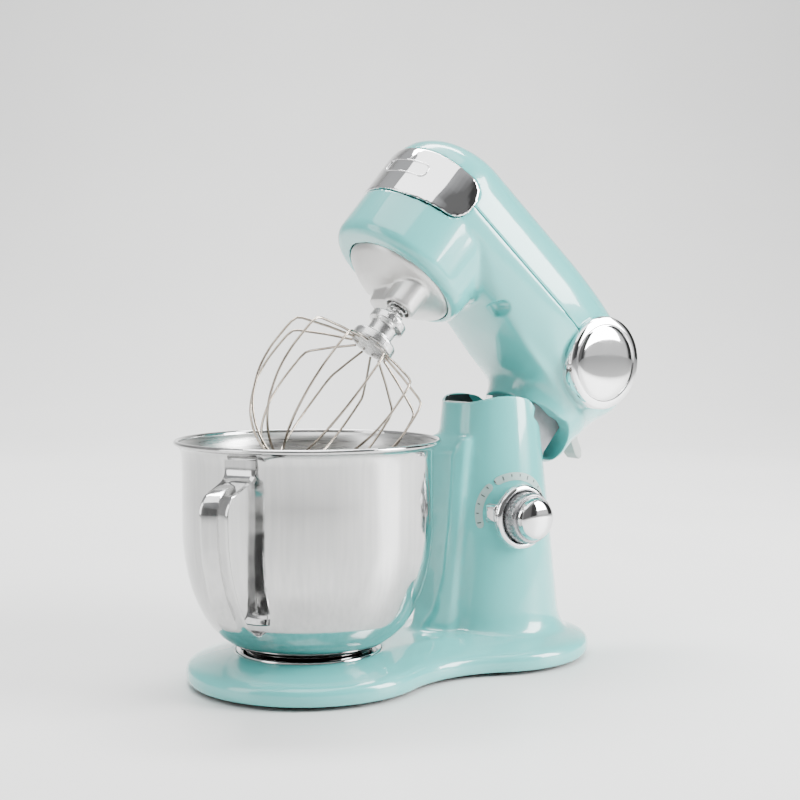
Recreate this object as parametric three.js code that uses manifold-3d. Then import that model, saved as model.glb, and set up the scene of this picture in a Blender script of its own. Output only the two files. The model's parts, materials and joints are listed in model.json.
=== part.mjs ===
// Tilt-head kitchen stand mixer, in millimetres, +Z up, with the head tilted up as at rest.
// -X is the front (bowl), +X the rear, -Y the side that carries the speed knob.
// Everything is laid out from the bowl's axis at x = 0, y = 0, with the head's pieces drawn closed;
// the head group then turns about the hinge, and one last group centres the footprint on x = 0.
import * as THREE from "three";
import { mergeVertices } from "three/addons/utils/BufferGeometryUtils.js";
import Module from "manifold-3d";

const wasm = await Module();
wasm.setup();

// ---- driving dimensions ----
const GAP = 0.3; // between neighbouring pieces
const WALL = 3; // castings and covers
const CENTRE_X = 112; // the footprint's middle, measured from the bowl's axis
const FAR = 400; // reaches past everything in a cut

const BASE = {
  frontRadius: 103,
  rearRadius: 97,
  rearX: 183,
  waistRadius: 102,
  bottomZ: 3,
  topZ: 28,
};
const COLUMN = { x: 191.5, topRadius: 44, topZ: 228, taper: 0.1, innerTopZ: 150 };
const SPINE = { halfWidth: 27, topZ: 203, rise: 8 };
const HINGE = { x: 182, z: 164, pinRadius: 5, openDeg: 41 };
const SLOT_HALF = 32.5; // half the gap between the column's ears
const TONGUE_HALF = 31; // half the width of the frame that fills it
const EAR = { outerRadius: 72.5, cornerX: 194, cornerZ: 211, cornerRadius: 24, heelZ: 212 };
const REAR_RIM_Z = 169; // where the column's rear wall ends, below the heel's swing
const DRUM_RADIUS = 46; // rear of the tongue, round the hinge
const TONGUE_REAR_X = 205; // and above the drum
const CORD = { turnDeg: 18, z: 12.5 }; // where the gland sits, round the rear lobe

const HEAD = { seamZ: 306, noseBottomZ: 234, neckX: 147.5 };
const BAND = { topZ: 325, bottomZ: 283, endX: -15, corner: 17, proud: 0.8, depth: 2.2 };
const CAP = { x: 187.5, y: 59, z: 302.5, radius: 42.5, turnDeg: 3, sunk: 1.5, thickness: 30 };
const NOSE_LIP = [[234, 6.5], [236, 3.4], [239, 1.2], [243, 0], [290.5, 0]]; // drawn in near its foot

const AXLE_X = 30; // beater axle's distance from the planetary axis
const PIN_DEG = -28; // cross pin's turn from the Y axis
const GEAR = { module: 2.5, ringTeeth: 36, planetTeeth: 12, lowZ: 245, highZ: 253 };
const WORM = { module: 2, wheelTeeth: 20, radius: 7, z: 292 };
const DISH = { rimZ: 236, radius: 50, topZ: 240.5 };
const DECK = { noseLowZ: 256.6, noseHighZ: 260.4, lowZ: 262, highZ: 265.4 };
const MOTOR = { y: WORM.radius + (WORM.module * WORM.wheelTeeth) / 2, z: WORM.z, shaftRadius: 4 };
const HUB_BOTTOM_Z = 160.5;
const WHISK = { loops: 6, bottomZ: 34.5, wireRadius: 1.2 };

const BOWL = { radius: 105, rimZ: 203, rimRadius: 110, bottomZ: 28, thickness: 1.4 };
const HANDLE_ANGLE = Math.PI + 0.535; // round the bowl from +X
const HANDLE_WIDTH = 28;
const KNOB = { x: 182, z: 131 };
const LEVER = { x: 233, z: 262 };
const FEET = [[-78, 0], [10, -82], [10, 82], [225, -62], [225, 62]]; // centres, x and y

// ---- materials ----
const paint = (name, color) =>
  new THREE.MeshStandardMaterial({ name, color, roughness: 0.22, metalness: 0.1 });
const metal = (name, color, roughness) =>
  new THREE.MeshStandardMaterial({ name, color, roughness, metalness: 1 });
const plastic = (name, color, roughness) =>
  new THREE.MeshStandardMaterial({ name, color, roughness, metalness: 0 });

const AQUA = paint("aqua_paint", 0x93d6cd);
const CHROME = metal("chrome", 0xdfe0e2, 0.07);
const STEEL = metal("brushed_steel", 0xc2c1bf, 0.28);
const CAST = metal("cast_metal", 0xa9abac, 0.5);
const SILVER = paint("silver_paint", 0xd3d0cc);
const BLACK = plastic("black_plastic", 0x1d1f21, 0.5);
const GREY = plastic("grey_plastic", 0xa9aba4, 0.45);
const RUBBER = plastic("rubber", 0x2a2b2c, 0.85);
const COPPER = metal("copper", 0xb87342, 0.4);
const BRASS = metal("brass", 0xc4a257, 0.35);
const BOARD = plastic("circuit_board", 0x2f6b45, 0.6);
const IRON = metal("laminated_steel", 0x77797b, 0.55);

// ---- solids ----
const TAU = 2 * Math.PI;
const rad = THREE.MathUtils.degToRad;
const square = (value) => value * value;

function toSolid(geometry) {
  const bare = geometry.clone();
  bare.deleteAttribute("normal");
  bare.deleteAttribute("uv");
  const merged = mergeVertices(bare, 1e-4);
  return new wasm.Manifold(
    new wasm.Mesh({
      numProp: 3,
      vertProperties: merged.attributes.position.array,
      triVerts: new Uint32Array(merged.index.array),
    }),
  );
}

function toGeometry(solid) {
  const data = solid.getMesh();
  const geometry = new THREE.BufferGeometry();
  geometry.setAttribute("position", new THREE.BufferAttribute(new Float32Array(data.vertProperties), 3));
  geometry.setIndex(new THREE.BufferAttribute(new Uint32Array(data.triVerts), 1));
  geometry.computeVertexNormals();
  return geometry;
}

const join = (...parts) => parts.map(asSolid).reduce((whole, part) => whole.add(part));
const cut = (body, ...tools) => tools.map(asSolid).reduce((left, tool) => left.subtract(tool), asSolid(body));
const common = (...parts) => parts.map(asSolid).reduce((whole, part) => whole.intersect(part));

function asSolid(part) {
  return part.isBufferGeometry ? toSolid(part) : part;
}

// Skins a stack of outlines, each with the same number of points and counter-clockwise from above.
function loft(rings) {
  const count = rings[0].length;
  const points = rings.flat();
  const faces = [];
  for (let level = 0; level + 1 < rings.length; level++) {
    for (let k = 0; k < count; k++) {
      const here = level * count + k;
      const next = level * count + ((k + 1) % count);
      faces.push(here, next, next + count, here, next + count, here + count);
    }
  }
  [0, rings.length - 1].forEach((level) => {
    const middle = points.length;
    points.push([0, 1, 2].map((axis) => rings[level].reduce((sum, p) => sum + p[axis], 0) / count));
    for (let k = 0; k < count; k++) {
      const here = level * count + k;
      const next = level * count + ((k + 1) % count);
      faces.push(middle, level ? here : next, level ? next : here);
    }
  });
  const geometry = new THREE.BufferGeometry();
  geometry.setAttribute("position", new THREE.Float32BufferAttribute(points.flat(), 3));
  geometry.setIndex(faces);
  return geometry;
}

// Turns a closed (radius, z) profile about the Z axis.
function turned(profile, segments = 32) {
  const points = profile.map(([r, z]) => new THREE.Vector2(r, z));
  return new THREE.LatheGeometry(points, segments).rotateX(Math.PI / 2);
}

function rod(radius, lowZ, highZ, segments = 16) {
  return turned([[0, lowZ], [radius, lowZ], [radius, highZ], [0, highZ]], segments);
}

function sleeve(inner, outer, lowZ, highZ, segments = 24) {
  const profile = [[inner, lowZ], [outer, lowZ], [outer, highZ], [inner, highZ], [inner, lowZ]];
  return turned(profile, segments);
}

// Lays a piece that was turned about Z along +X or +Y instead.
const alongX = (geometry) => geometry.rotateY(Math.PI / 2);
const alongY = (geometry) => geometry.rotateX(-Math.PI / 2);

function block(lowX, highX, lowY, highY, lowZ, highZ) {
  const geometry = new THREE.BoxGeometry(highX - lowX, highY - lowY, highZ - lowZ);
  return geometry.translate((lowX + highX) / 2, (lowY + highY) / 2, (lowZ + highZ) / 2);
}

// Extrudes a side view, drawn in (x, z), between two values of y.
function sidePlate(shape, lowY, highY, curveSegments = 12) {
  const settings = { depth: highY - lowY, bevelEnabled: false, curveSegments };
  const geometry = new THREE.ExtrudeGeometry(shape, settings);
  return geometry.rotateX(Math.PI / 2).translate(0, highY, 0);
}

// Extrudes a plan view, drawn in (x, y), upwards from lowZ.
function planPlate(shape, lowZ, highZ, curveSegments = 12) {
  const settings = { depth: highZ - lowZ, bevelEnabled: false, curveSegments };
  return new THREE.ExtrudeGeometry(shape, settings).translate(0, 0, lowZ);
}

function outline(points) {
  return new THREE.Shape(points.map(([a, b]) => new THREE.Vector2(a, b)));
}

function arc(x, y, radius, fromDeg, toDeg, steps) {
  return Array.from({ length: steps + 1 }, (_, k) => {
    const angle = rad(fromDeg + ((toDeg - fromDeg) * k) / steps);
    return [x + radius * Math.cos(angle), y + radius * Math.sin(angle)];
  });
}

// Piecewise straight interpolation through (key, value) pairs.
function between(table, key) {
  const above = table.findIndex(([k]) => k >= key);
  if (above <= 0) return above < 0 ? table.at(-1)[1] : table[0][1];
  const [k0, v0] = table[above - 1];
  const [k1, v1] = table[above];
  return v0 + ((v1 - v0) * (key - k0)) / (k1 - k0);
}

// A round-ended outline from frontX to rearX, given its half widths at the two ends.
function stadium(frontX, rearX, frontHalf, rearHalf, z, perEnd = 13) {
  const rear = arc(rearX - rearHalf, 0, rearHalf, -90, 90, perEnd);
  const front = arc(frontX + frontHalf, 0, frontHalf, 90, 270, perEnd);
  return [...rear, ...front].map(([x, y]) => [x, y, z]);
}

// A wire or tube with a polygon section, along a curve.
function tube(curve, radius, sides, steps) {
  const section = outline(arc(0, 0, radius, 0, 360 - 360 / sides, sides - 1));
  return new THREE.ExtrudeGeometry(section, { extrudePath: curve, steps, bevelEnabled: false });
}

// Straight-flanked teeth round a pitch circle; a negative growth makes the teeth point inwards.
function toothPoints(teeth, module, growth = 1, thickness = 0.4) {
  const pitch = (module * teeth) / 2;
  const tip = pitch + 0.85 * module * growth;
  const root = pitch - 1.1 * module * growth;
  const step = TAU / teeth;
  const halfTip = step * thickness * 0.3;
  const halfRoot = step * thickness * 0.75;
  return Array.from({ length: teeth }, (_, k) =>
    [[root, -halfRoot], [tip, -halfTip], [tip, halfTip], [root, halfRoot]].map(([r, a]) => [
      r * Math.cos(k * step + a),
      r * Math.sin(k * step + a),
    ]),
  ).flat();
}

// ---- stand ----
// Two round lobes joined by hollow waists, drawn in from its widest outline by inset.
function baseOutline(inset, z) {
  const { frontRadius, rearRadius, rearX, waistRadius } = BASE;
  const toFront = frontRadius + waistRadius;
  const toRear = rearRadius + waistRadius;
  const waistX = (square(rearX) + square(toFront) - square(toRear)) / (2 * rearX);
  const waistY = Math.sqrt(square(toFront) - square(waistX));
  const frontDeg = THREE.MathUtils.radToDeg(Math.atan2(waistY, waistX));
  const rearDeg = THREE.MathUtils.radToDeg(Math.atan2(waistY, waistX - rearX));
  const lobe = (x, radius, from, to, steps) => arc(x, 0, radius - inset, from, to, steps).slice(0, -1);
  const waist = (y, from, to) => arc(waistX, y, waistRadius + inset, from, to, 5).slice(0, -1);
  const points = [
    ...lobe(rearX, rearRadius, -rearDeg, rearDeg, 16),
    ...waist(waistY, rearDeg - 180, frontDeg - 180),
    ...lobe(0, frontRadius, frontDeg, 360 - frontDeg, 20),
    ...waist(-waistY, 180 - frontDeg, 180 - rearDeg),
  ];
  return points.map(([x, y]) => [x, y, z]);
}

const columnRadius = (z) => COLUMN.topRadius + (COLUMN.topZ - z) * COLUMN.taper;

function columnRing(z, grow, centreX = COLUMN.x) {
  return arc(centreX, 0, columnRadius(z) + grow, 0, 360, 36).slice(0, -1).map(([x, y]) => [x, y, z]);
}

// The side view of everything that may stay of the column above its ears.
function earSide() {
  const top = HINGE.z + EAR.outerRadius;
  const cornerTop = arc(EAR.cornerX, EAR.cornerZ, EAR.cornerRadius, 0, 84, 7);
  const overHinge = arc(HINGE.x, HINGE.z, EAR.outerRadius, 85, 113, 6);
  const rim = [[150.5, top - 6], [120, top - 6]];
  const below = [[90, 20], [330, 20], [330, EAR.heelZ - 1]];
  const rearEdge = EAR.cornerX + EAR.cornerRadius;
  return outline([...below, [rearEdge, EAR.heelZ - 1], ...cornerTop, ...overHinge, ...rim]);
}

// Where the heel of the head swings behind the ears.
function heelSweep(innerRadius, outerRadius) {
  const inner = arc(HINGE.x, HINGE.z, innerRadius, 3.5, 62, 8);
  const outer = arc(HINGE.x, HINGE.z, outerRadius, 62, 3.5, 8);
  return outline([...inner, ...outer]);
}

// Takes a piece laid along +X out to where the cord leaves the base.
function atRearLobe(geometry) {
  return geometry.rotateZ(rad(CORD.turnDeg)).translate(BASE.rearX, 0, CORD.z);
}

function standHousing() {
  const base = loft([
    baseOutline(2.5, BASE.bottomZ),
    baseOutline(0.5, 6),
    baseOutline(0, 10),
    baseOutline(0.8, 15),
    baseOutline(3, 19),
    baseOutline(8, 22.5),
    baseOutline(20, 25.5),
    baseOutline(40, BASE.topZ),
  ]);
  const column = loft([
    columnRing(15, 4),
    columnRing(27, 4),
    columnRing(31, 1.5),
    columnRing(40, 0),
    columnRing(245, 0),
  ]);
  const spineRing = (z, rise) => {
    const front = COLUMN.x - columnRadius(z) - rise;
    const half = SPINE.halfWidth;
    const corner = Math.max(rise, 1);
    const points = [[COLUMN.x, -half], [COLUMN.x, half], [front + corner, half], [front, half - corner]];
    return [...points, [front, corner - half], [front + corner, -half]].map(([x, y]) => [x, y, z]);
  };
  const spine = loft([
    spineRing(15, 23),
    spineRing(30, 19),
    spineRing(48, SPINE.rise + 2.5),
    spineRing(80, SPINE.rise - 1),
    spineRing(130, SPINE.rise - 1.5),
    spineRing(SPINE.topZ - 5, SPINE.rise),
    spineRing(SPINE.topZ, 1.2),
  ]);
  const kept = join(sidePlate(earSide(), -FAR, FAR), block(-FAR, FAR, -FAR, FAR, 0, 60));
  const outside = common(join(base, column, spine), kept);
  const baseHollow = loft([
    baseOutline(2.5 + WALL, 0),
    baseOutline(WALL, 14),
    baseOutline(12, 19),
    baseOutline(40, 23),
  ]);
  const clampSeat = join(rod(61.4, 20.7, 40, 40), rod(58.5, 0, 21, 40));
  const clampCup = rod(64, 8, 24, 40);
  const columnHollow = loft([18, 60, COLUMN.innerTopZ].map((z) => columnRing(z, -WALL)));
  const frontSide = [[300, REAR_RIM_Z], [300, 280], [120, 280], [120, 140]];
  const slotSide = outline([...frontSide, [244, 140], [244, REAR_RIM_Z]]);
  const innerColumn = loft([columnRing(130, -WALL), columnRing(260, -WALL)]);
  const slotSpace = join(innerColumn, block(COLUMN.x, 300, -FAR, FAR, 130, 300));
  const slot = common(sidePlate(slotSide, -SLOT_HALF, SLOT_HALF), slotSpace);
  const heelRoom = sidePlate(heelSweep(59.8, 95), -FAR, FAR);
  const pinBore = alongY(rod(HINGE.pinRadius + GAP, -44.5, 44.5, 16)).translate(HINGE.x, 0, HINGE.z);
  const knobBore = alongY(rod(9, -70, -30, 16)).translate(KNOB.x, 0, KNOB.z);
  const cordBore = atRearLobe(alongX(rod(5.8, 60, 120, 16)));
  const shell = join(cut(outside, baseHollow, columnHollow), clampCup);
  return cut(shell, clampSeat, slot, heelRoom, pinBore, knobBore, cordBore);
}

function basePlate() {
  const plate = loft([baseOutline(6.2, 4), baseOutline(6, 6.5)]);
  const feet = FEET.map(([x, y]) => rod(6.3, 0, 10, 12).translate(x, y, 0));
  const vents = [-24, -12, 0, 12, 24].map((y) => block(160, 205, y - 2, y + 2, 0, 10));
  return cut(plate, ...feet, ...vents);
}

function foot() {
  return turned([[0, 0], [10, 0], [10, 3.7], [6, 3.7], [6, 7.5], [0, 7.5]], 12);
}

function bowlClampRing() {
  const ring = sleeve(53, 61, 21, 28.6, 40);
  const notches = [0, 120, 240].map((deg) => {
    const sector = outline([[0, 0], ...arc(0, 0, 57.5, deg + 17, deg + 43, 4)]);
    return planPlate(sector, 15, 35);
  });
  return cut(ring, ...notches);
}

function latchPlate() {
  const face = [[153.3, 230.5], [158.6, 214], [158.6, 190]];
  const back = [[156.1, 190], [156.1, 214], [151, 230.5]];
  const inside = loft([150, 260].map((z) => columnRing(z, -WALL - GAP)));
  const plate = common(sidePlate(outline([...face, ...back]), -24, 24), inside);
  const hookSlot = block(140, 170, -5, 5, 197, 224);
  const lug = block(154, 158, -14, -10, 225, 240);
  return cut(plate, hookSlot, lug);
}

function hingePin() {
  return alongY(rod(HINGE.pinRadius, -44, 44, 16)).translate(HINGE.x, 0, HINGE.z);
}

function knobBezel() {
  const outer = [[13, 45], [20, 45], [20.5, 54.5], [27.5, 57], [27.5, 60.5], [26, 62]];
  const profile = [...outer, [23.5, 61.5], [23, 58], [13, 58], [13, 45]];
  const ring = alongY(turned(profile, 28)).rotateZ(Math.PI).translate(KNOB.x, 0, KNOB.z);
  const lug = block(KNOB.x - 27.5, KNOB.x - 20, -58, -45, KNOB.z - 9, KNOB.z + 9);
  const skin = loft([columnRing(60, GAP), columnRing(200, GAP)]);
  const middle = alongY(rod(18, -80, -30, 24)).translate(KNOB.x, 0, KNOB.z);
  return cut(join(ring, cut(lug, middle)), skin);
}

function speedSwitch() {
  const body = alongY(rod(11.5, -41, -36, 16)).translate(KNOB.x, 0, KNOB.z);
  const tails = [-8, 0, 8].map((dx) => {
    return block(-1.5, 1.5, -40, -38, -20, -8).translate(KNOB.x + dx, 0, KNOB.z);
  });
  return join(body, ...tails);
}

function controlBoard() {
  const board = block(229, 231, -30, 30, 50, 120);
  const capacitor = rod(9, 0, 24, 16).rotateY(-Math.PI / 2).translate(229.5, 12, 70);
  const heatSink = [0, 1, 2, 3].map((k) => block(211, 229.5, -28 + 6 * k, -26 + 6 * k, 85, 115));
  return join(board, capacitor, ...heatSink, block(226, 229.5, -28, -8, 85, 115));
}

function cordGland() {
  const profile = [[3, 0], [7.5, 0], [7.5, 2.8], [5.5, 2.8], [5.5, 12], [3, 12], [3, 0]];
  return atRearLobe(alongX(turned(profile, 20)).rotateZ(Math.PI).translate(BASE.rearRadius + 3.2, 0, 0));
}

// ---- head, drawn closed ----
// Tables by height: half width, and where the outline starts and ends along x.
const HALF_WIDTH = [
  [204, 46.5], [242, 47.5], [262, 49], [276, 55], [290, 59.5], [306, 61.5],
  [322, 61], [336, 57.5], [348, 50.5], [356, 41], [361, 30], [364, 14],
];
const NOSE_FRONT_X = [[204, -70], [318, -70], [336, -67], [348, -59], [356, -47], [361, -33], [364, -14]];
const NECK_FRONT_X = [
  [204, 147.5], [232, 147], [243, 143.5], [251, 135.5], [255, 123], [257, 109], [258, 97], [261, 77],
  [264, 55], [268, 20], [290, -40],
];
const REAR_X = [
  [204, 218], [209, 224], [216, 230], [225, 234], [238, 235], [251, 239], [266, 246], [283, 253.5],
  [290, 258], [306, 265], [322, 266.5], [336, 263], [348, 254], [356, 240], [361, 224], [364, 200],
];
const REAR_START_X = [[204, 195], [251, 195], [290, 110], [364, 110]];
const NECK_LEVELS = [204, 209, 216, 225, 232, 243, 251, 255, 257, 258, 261, 264, 268, 290];
const UPPER_LEVELS = [290, 306, 322, 336, 348, 356, 361, 364];

// One level of the head: a round front, straight flanks and a rear that tapers to a blunt point.
function headRing(z, inset, frontX, lift = 0) {
  const half = between(HALF_WIDTH, z) - inset;
  const rearStart = Math.max(between(REAR_START_X, z), frontX + inset + half);
  const reach = between(REAR_X, z) - inset - rearStart;
  const power = 2 / between([[204, 2], [250, 2], [290, 1.8]], z);
  const rear = arc(0, 0, 1, -90, 90, 16).map(([x, y]) => [
    rearStart + reach * Math.max(x, 0) ** power,
    half * Math.sign(y) * Math.abs(y) ** power,
  ]);
  const front = arc(frontX + inset + half, 0, half, 90, 270, 12);
  return [...rear, ...front].map(([x, y]) => [x, y, z + lift]);
}

// The whole head's outer form, or the same drawn in by inset.
function headForm(inset = 0) {
  const upperLevels = UPPER_LEVELS.filter((z) => z < 364 || inset <= 0);
  const neck = loft(NECK_LEVELS.map((z) => {
    return headRing(z, inset, between(NECK_FRONT_X, z), z < UPPER_LEVELS[0] ? inset : 0);
  }));
  const upper = loft(
    upperLevels.map((z) => headRing(z, inset, between(NOSE_FRONT_X, z), z > 340 ? -inset : 0)),
  );
  const noseHalf = between(HALF_WIDTH, 290);
  const nose = loft(NOSE_LIP.map(([z, lip]) => {
    const half = noseHalf - inset - lip;
    return stadium(-70 + inset + lip, 60 - inset - lip, half, half - 1, z);
  }));
  return join(neck, upper, nose);
}

// Side view of all that may stay of the painted shell: nose, neck and heel.
function shellSide(inset) {
  const pocket = EAR.outerRadius + 1.3 + inset;
  const rear = EAR.cornerX + EAR.cornerRadius + 1 + inset;
  const corner = EAR.cornerRadius + 1 + inset;
  return outline([
    [-90, HEAD.noseBottomZ + inset],
    [HEAD.neckX - 20, HEAD.noseBottomZ + inset],
    [153, 231.5 + inset],
    ...arc(HINGE.x, HINGE.z, pocket, 113, 86, 6),
    ...arc(EAR.cornerX, EAR.cornerZ + 4, corner, 84, 0, 7),
    [rear, EAR.heelZ + inset],
    [300, EAR.heelZ + inset],
    [300, 400],
    [-90, 400],
  ]);
}

// The frame's tongue between the ears, drawn out by grow.
function tongueSide(grow) {
  const drum = DRUM_RADIUS + grow;
  const nose = 25 + grow;
  return outline([
    [168 - grow, 250],
    [159 - grow, 200],
    ...arc(HINGE.x, HINGE.z, nose, 165, 262, 6),
    ...arc(HINGE.x, HINGE.z, drum, -14, 51, 8),
    [TONGUE_REAR_X + grow, EAR.heelZ - 2],
    [TONGUE_REAR_X + grow, 250],
  ]);
}

function bandRegion(grow) {
  const { topZ, bottomZ, endX, corner } = BAND;
  const radius = corner + grow;
  const insideX = endX - corner;
  const side = outline([
    [-90, bottomZ - 4 - grow],
    [-60, bottomZ - 4 - grow],
    ...arc(insideX, bottomZ + corner, radius, -90, 0, 5),
    ...arc(insideX, topZ - corner, radius, 0, 90, 5),
    [-60, topZ + 3 + grow],
    [-90, topZ + 3 + grow],
  ]);
  return sidePlate(side, -FAR, FAR);
}

// Turns a piece drawn on +Z, its face at z = 0, out to one of the head's rear flanks.
function onFlank(geometry, sign) {
  const heading = sign > 0 ? Math.PI - rad(CAP.turnDeg) : rad(CAP.turnDeg);
  return geometry.rotateX(Math.PI / 2).rotateZ(heading).translate(CAP.x, sign * CAP.y, CAP.z);
}

function capSeats() {
  const plugs = [-1, 1].map((sign) => onFlank(rod(CAP.radius + GAP, -CAP.thickness, 60, 36), sign));
  return cut(join(...plugs), headForm(CAP.sunk));
}

function shellSolid() {
  const outer = common(headForm(0), sidePlate(shellSide(0), -FAR, FAR));
  const inner = common(headForm(WALL), sidePlate(shellSide(WALL), -FAR, FAR));
  const dishHole = rod(DISH.radius + 0.6, 200, 256, 48);
  const tongueRoom = sidePlate(tongueSide(0.5), -TONGUE_HALF - 0.5, TONGUE_HALF + 0.5);
  const sideHole = alongY(rod(7.5, -FAR, -42, 16)).translate(72, 0, 265);
  const leverSlot = block(236, 280, -9, 9, 238, 272);
  return cut(outer, inner, dishHole, tongueRoom, sideHole, leverSlot, bandRegion(GAP), capSeats());
}

function splitShell(shell) {
  const lower = cut(shell, block(-FAR, FAR, -FAR, FAR, HEAD.seamZ - GAP / 2, 500));
  const upper = cut(shell, block(-FAR, FAR, -FAR, FAR, 0, HEAD.seamZ + GAP / 2));
  return [lower, upper];
}

function noseBand() {
  const skin = cut(headForm(-BAND.proud), headForm(BAND.depth));
  return common(skin, bandRegion(0));
}

function sideCap(sign) {
  const { radius, thickness } = CAP;
  const rim = [[radius, 0.5], [radius - 1.5, 2], [radius - 7, 3.2], [radius - 7.8, 2.4]];
  const profile = [[0, -thickness], [radius, -thickness], ...rim, [radius - 22, 4.2], [0, 5]];
  return cut(onFlank(turned(profile, 32), sign), headForm(CAP.sunk - GAP));
}

function headFrame() {
  const { noseLowZ, noseHighZ, lowZ, highZ } = DECK;
  const noseDeck = join(rod(44, noseLowZ, noseHighZ, 40), block(0, 46, -24, 30, noseLowZ, noseHighZ));
  const bridge = join(
    block(34, 46, -24, 24, noseLowZ, 278),
    block(34, 112, -24, 20, 271, 278),
    block(106, 112, -24, 20, lowZ, 278),
    block(106, 130, -24, 24, lowZ, highZ),
  );
  const deck = join(noseDeck, bridge, block(128, 200, -30, 38, lowZ, highZ));
  const boss = rod(16, 258, 276, 24);
  const columnSpace = loft([columnRing(100, -WALL - 1), columnRing(260, -WALL - 1)]);
  const rearSpace = loft([columnRing(100, -GAP), columnRing(260, -GAP)]);
  const tongueSpace = join(columnSpace, common(rearSpace, block(COLUMN.x, 300, -FAR, FAR, 90, 300)));
  const tongue = common(sidePlate(tongueSide(0), -TONGUE_HALF, TONGUE_HALF), tongueSpace);
  const hollowSide = [
    [172, 262],
    [164, 200],
    ...arc(HINGE.x, HINGE.z, 21, 165, 262, 4),
    ...arc(HINGE.x, HINGE.z, DRUM_RADIUS - 4, -9, 48, 6),
    [TONGUE_REAR_X - 4, EAR.heelZ],
    [TONGUE_REAR_X - 4, 262],
  ];
  const inside = sidePlate(outline(hollowSide), -25, 25);
  const neck = block(166, TONGUE_REAR_X, -TONGUE_HALF, TONGUE_HALF, 246, lowZ + 1);
  const shaftBore = rod(9.3, 250, 280, 20);
  const bushBore = alongY(rod(8.3, -40, 40, 20)).translate(HINGE.x, 0, HINGE.z);
  return cut(join(deck, boss, tongue, neck), inside, shaftBore, bushBore);
}

function hingeBush(sign) {
  const low = sign > 0 ? 25.2 : -30.8;
  return alongY(sleeve(HINGE.pinRadius + 0.15, 8, low, low + 5.6, 20)).translate(HINGE.x, 0, HINGE.z);
}

function ringGear() {
  const shape = outline(arc(0, 0, 51, 0, 350, 35));
  const hole = toothPoints(GEAR.ringTeeth, GEAR.module, -1).reverse();
  shape.holes.push(new THREE.Path(hole.map(([x, y]) => new THREE.Vector2(x, y))));
  return planPlate(shape, 244.3, DECK.noseLowZ - GAP, 1);
}

function mainBearing() {
  return sleeve(6.15, 9, 258, 276, 20);
}

function motorStator() {
  const half = 23;
  const corner = 8;
  const shape = outline([
    [-half, corner - half], [corner - half, -half], [half - corner, -half], [half, corner - half],
    [half, half - corner], [half - corner, half], [corner - half, half], [-half, half - corner],
  ]);
  const bore = arc(0, 0, 16.6, 0, 345, 23).reverse();
  const slots = [1, -1].map((sign) => {
    const pole = block(-70, 70, sign * 20 - 6, sign * 20 + 6, -3, 3);
    return cut(block(-60, 60, sign * 20.3 - 2.5, sign * 20.3 + 2.5, -9, 9), pole);
  });
  shape.holes.push(new THREE.Path(bore.map(([x, y]) => new THREE.Vector2(x, y))));
  const stack = planPlate(shape, -20, 20, 1).rotateY(Math.PI / 2);
  return cut(stack, ...slots).translate([140, MOTOR.y, MOTOR.z]);
}

function fieldCoil(sign) {
  const coil = cut(block(-24, 24, -2.2, 2.2, -8.6, 8.6), block(-20.5, 20.5, -10, 10, -3.4, 3.4));
  return coil.translate([140, MOTOR.y + sign * 20.3, MOTOR.z]);
}

function motorBearing(lowX, deckZ) {
  const { y, z, shaftRadius } = MOTOR;
  const top = alongX(rod(10, lowX, lowX + 8, 20)).translate(0, y, z);
  const post = join(block(lowX, lowX + 8, y - 8, y + 8, deckZ + GAP, z), top);
  return cut(post, alongX(rod(shaftRadius + 0.25, lowX - 5, lowX + 15, 16)).translate(0, y, z));
}

// A single-start worm: rings along its axis whose radius follows the thread's phase.
function wormThread(halfLength) {
  const pitch = Math.PI * WORM.module;
  const sides = 12;
  const perTurn = 10;
  const count = Math.round((2 * halfLength * perTurn) / pitch);
  const rings = Array.from({ length: count + 1 }, (_, level) => {
    const x = -halfLength + (2 * halfLength * level) / count;
    return Array.from({ length: sides }, (_, k) => {
      const angle = (k * TAU) / sides;
      const phase = THREE.MathUtils.euclideanModulo(x / pitch - angle / TAU + 0.5, 1) - 0.5;
      const height = THREE.MathUtils.clamp((0.24 - Math.abs(phase)) / 0.12, 0, 1);
      const taper = level === 0 || level === count ? 0 : 1;
      const radius = WORM.radius - 2.1 + 3.8 * height * taper;
      return [radius * Math.cos(angle), radius * Math.sin(angle), x];
    });
  });
  return alongX(loft(rings));
}

function motorShaft() {
  const { y, z, shaftRadius } = MOTOR;
  const shaft = alongX(rod(shaftRadius, 10, 186.5, 16));
  return join(shaft, wormThread(11)).translate([0, y, z]);
}

function armatureCore() {
  const core = sleeve(4.3, 16, 120, 160, 24);
  const slots = Array.from({ length: 12 }, (_, k) => block(13, 20, -1, 1, 110, 170).rotateZ((k * TAU) / 12));
  return cut(core, ...slots).rotate([0, 90, 0]).translate([0, MOTOR.y, MOTOR.z]);
}

function armatureWinding(lowX, highX) {
  const outer = [[12, lowX], [14, lowX + 2], [14, highX - 2], [12, highX]];
  const profile = [[4.3, lowX], ...outer, [4.3, highX], [4.3, lowX]];
  return alongX(turned(profile, 20)).translate(0, MOTOR.y, MOTOR.z);
}

function commutator() {
  return alongX(sleeve(4.3, 9, 96, 108, 24)).translate(0, MOTOR.y, MOTOR.z);
}

function brush(sign) {
  const body = block(98, 106, 9.4, 21, -3.5, 3.5);
  return (sign > 0 ? body : body.rotateX(Math.PI)).translate(0, MOTOR.y, MOTOR.z);
}

function coolingFan() {
  const hub = sleeve(4.3, 8, 177, 186, 20);
  const disc = sleeve(4.3, 18.5, 184, 186, 20);
  const blades = Array.from({ length: 7 }, (_, k) => {
    return block(7, 18.5, -0.8, 0.8, 178, 185).rotateZ((k * TAU) / 7);
  });
  return join(hub, disc, ...blades).rotate([0, 90, 0]).translate([0, MOTOR.y, MOTOR.z]);
}

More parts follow.
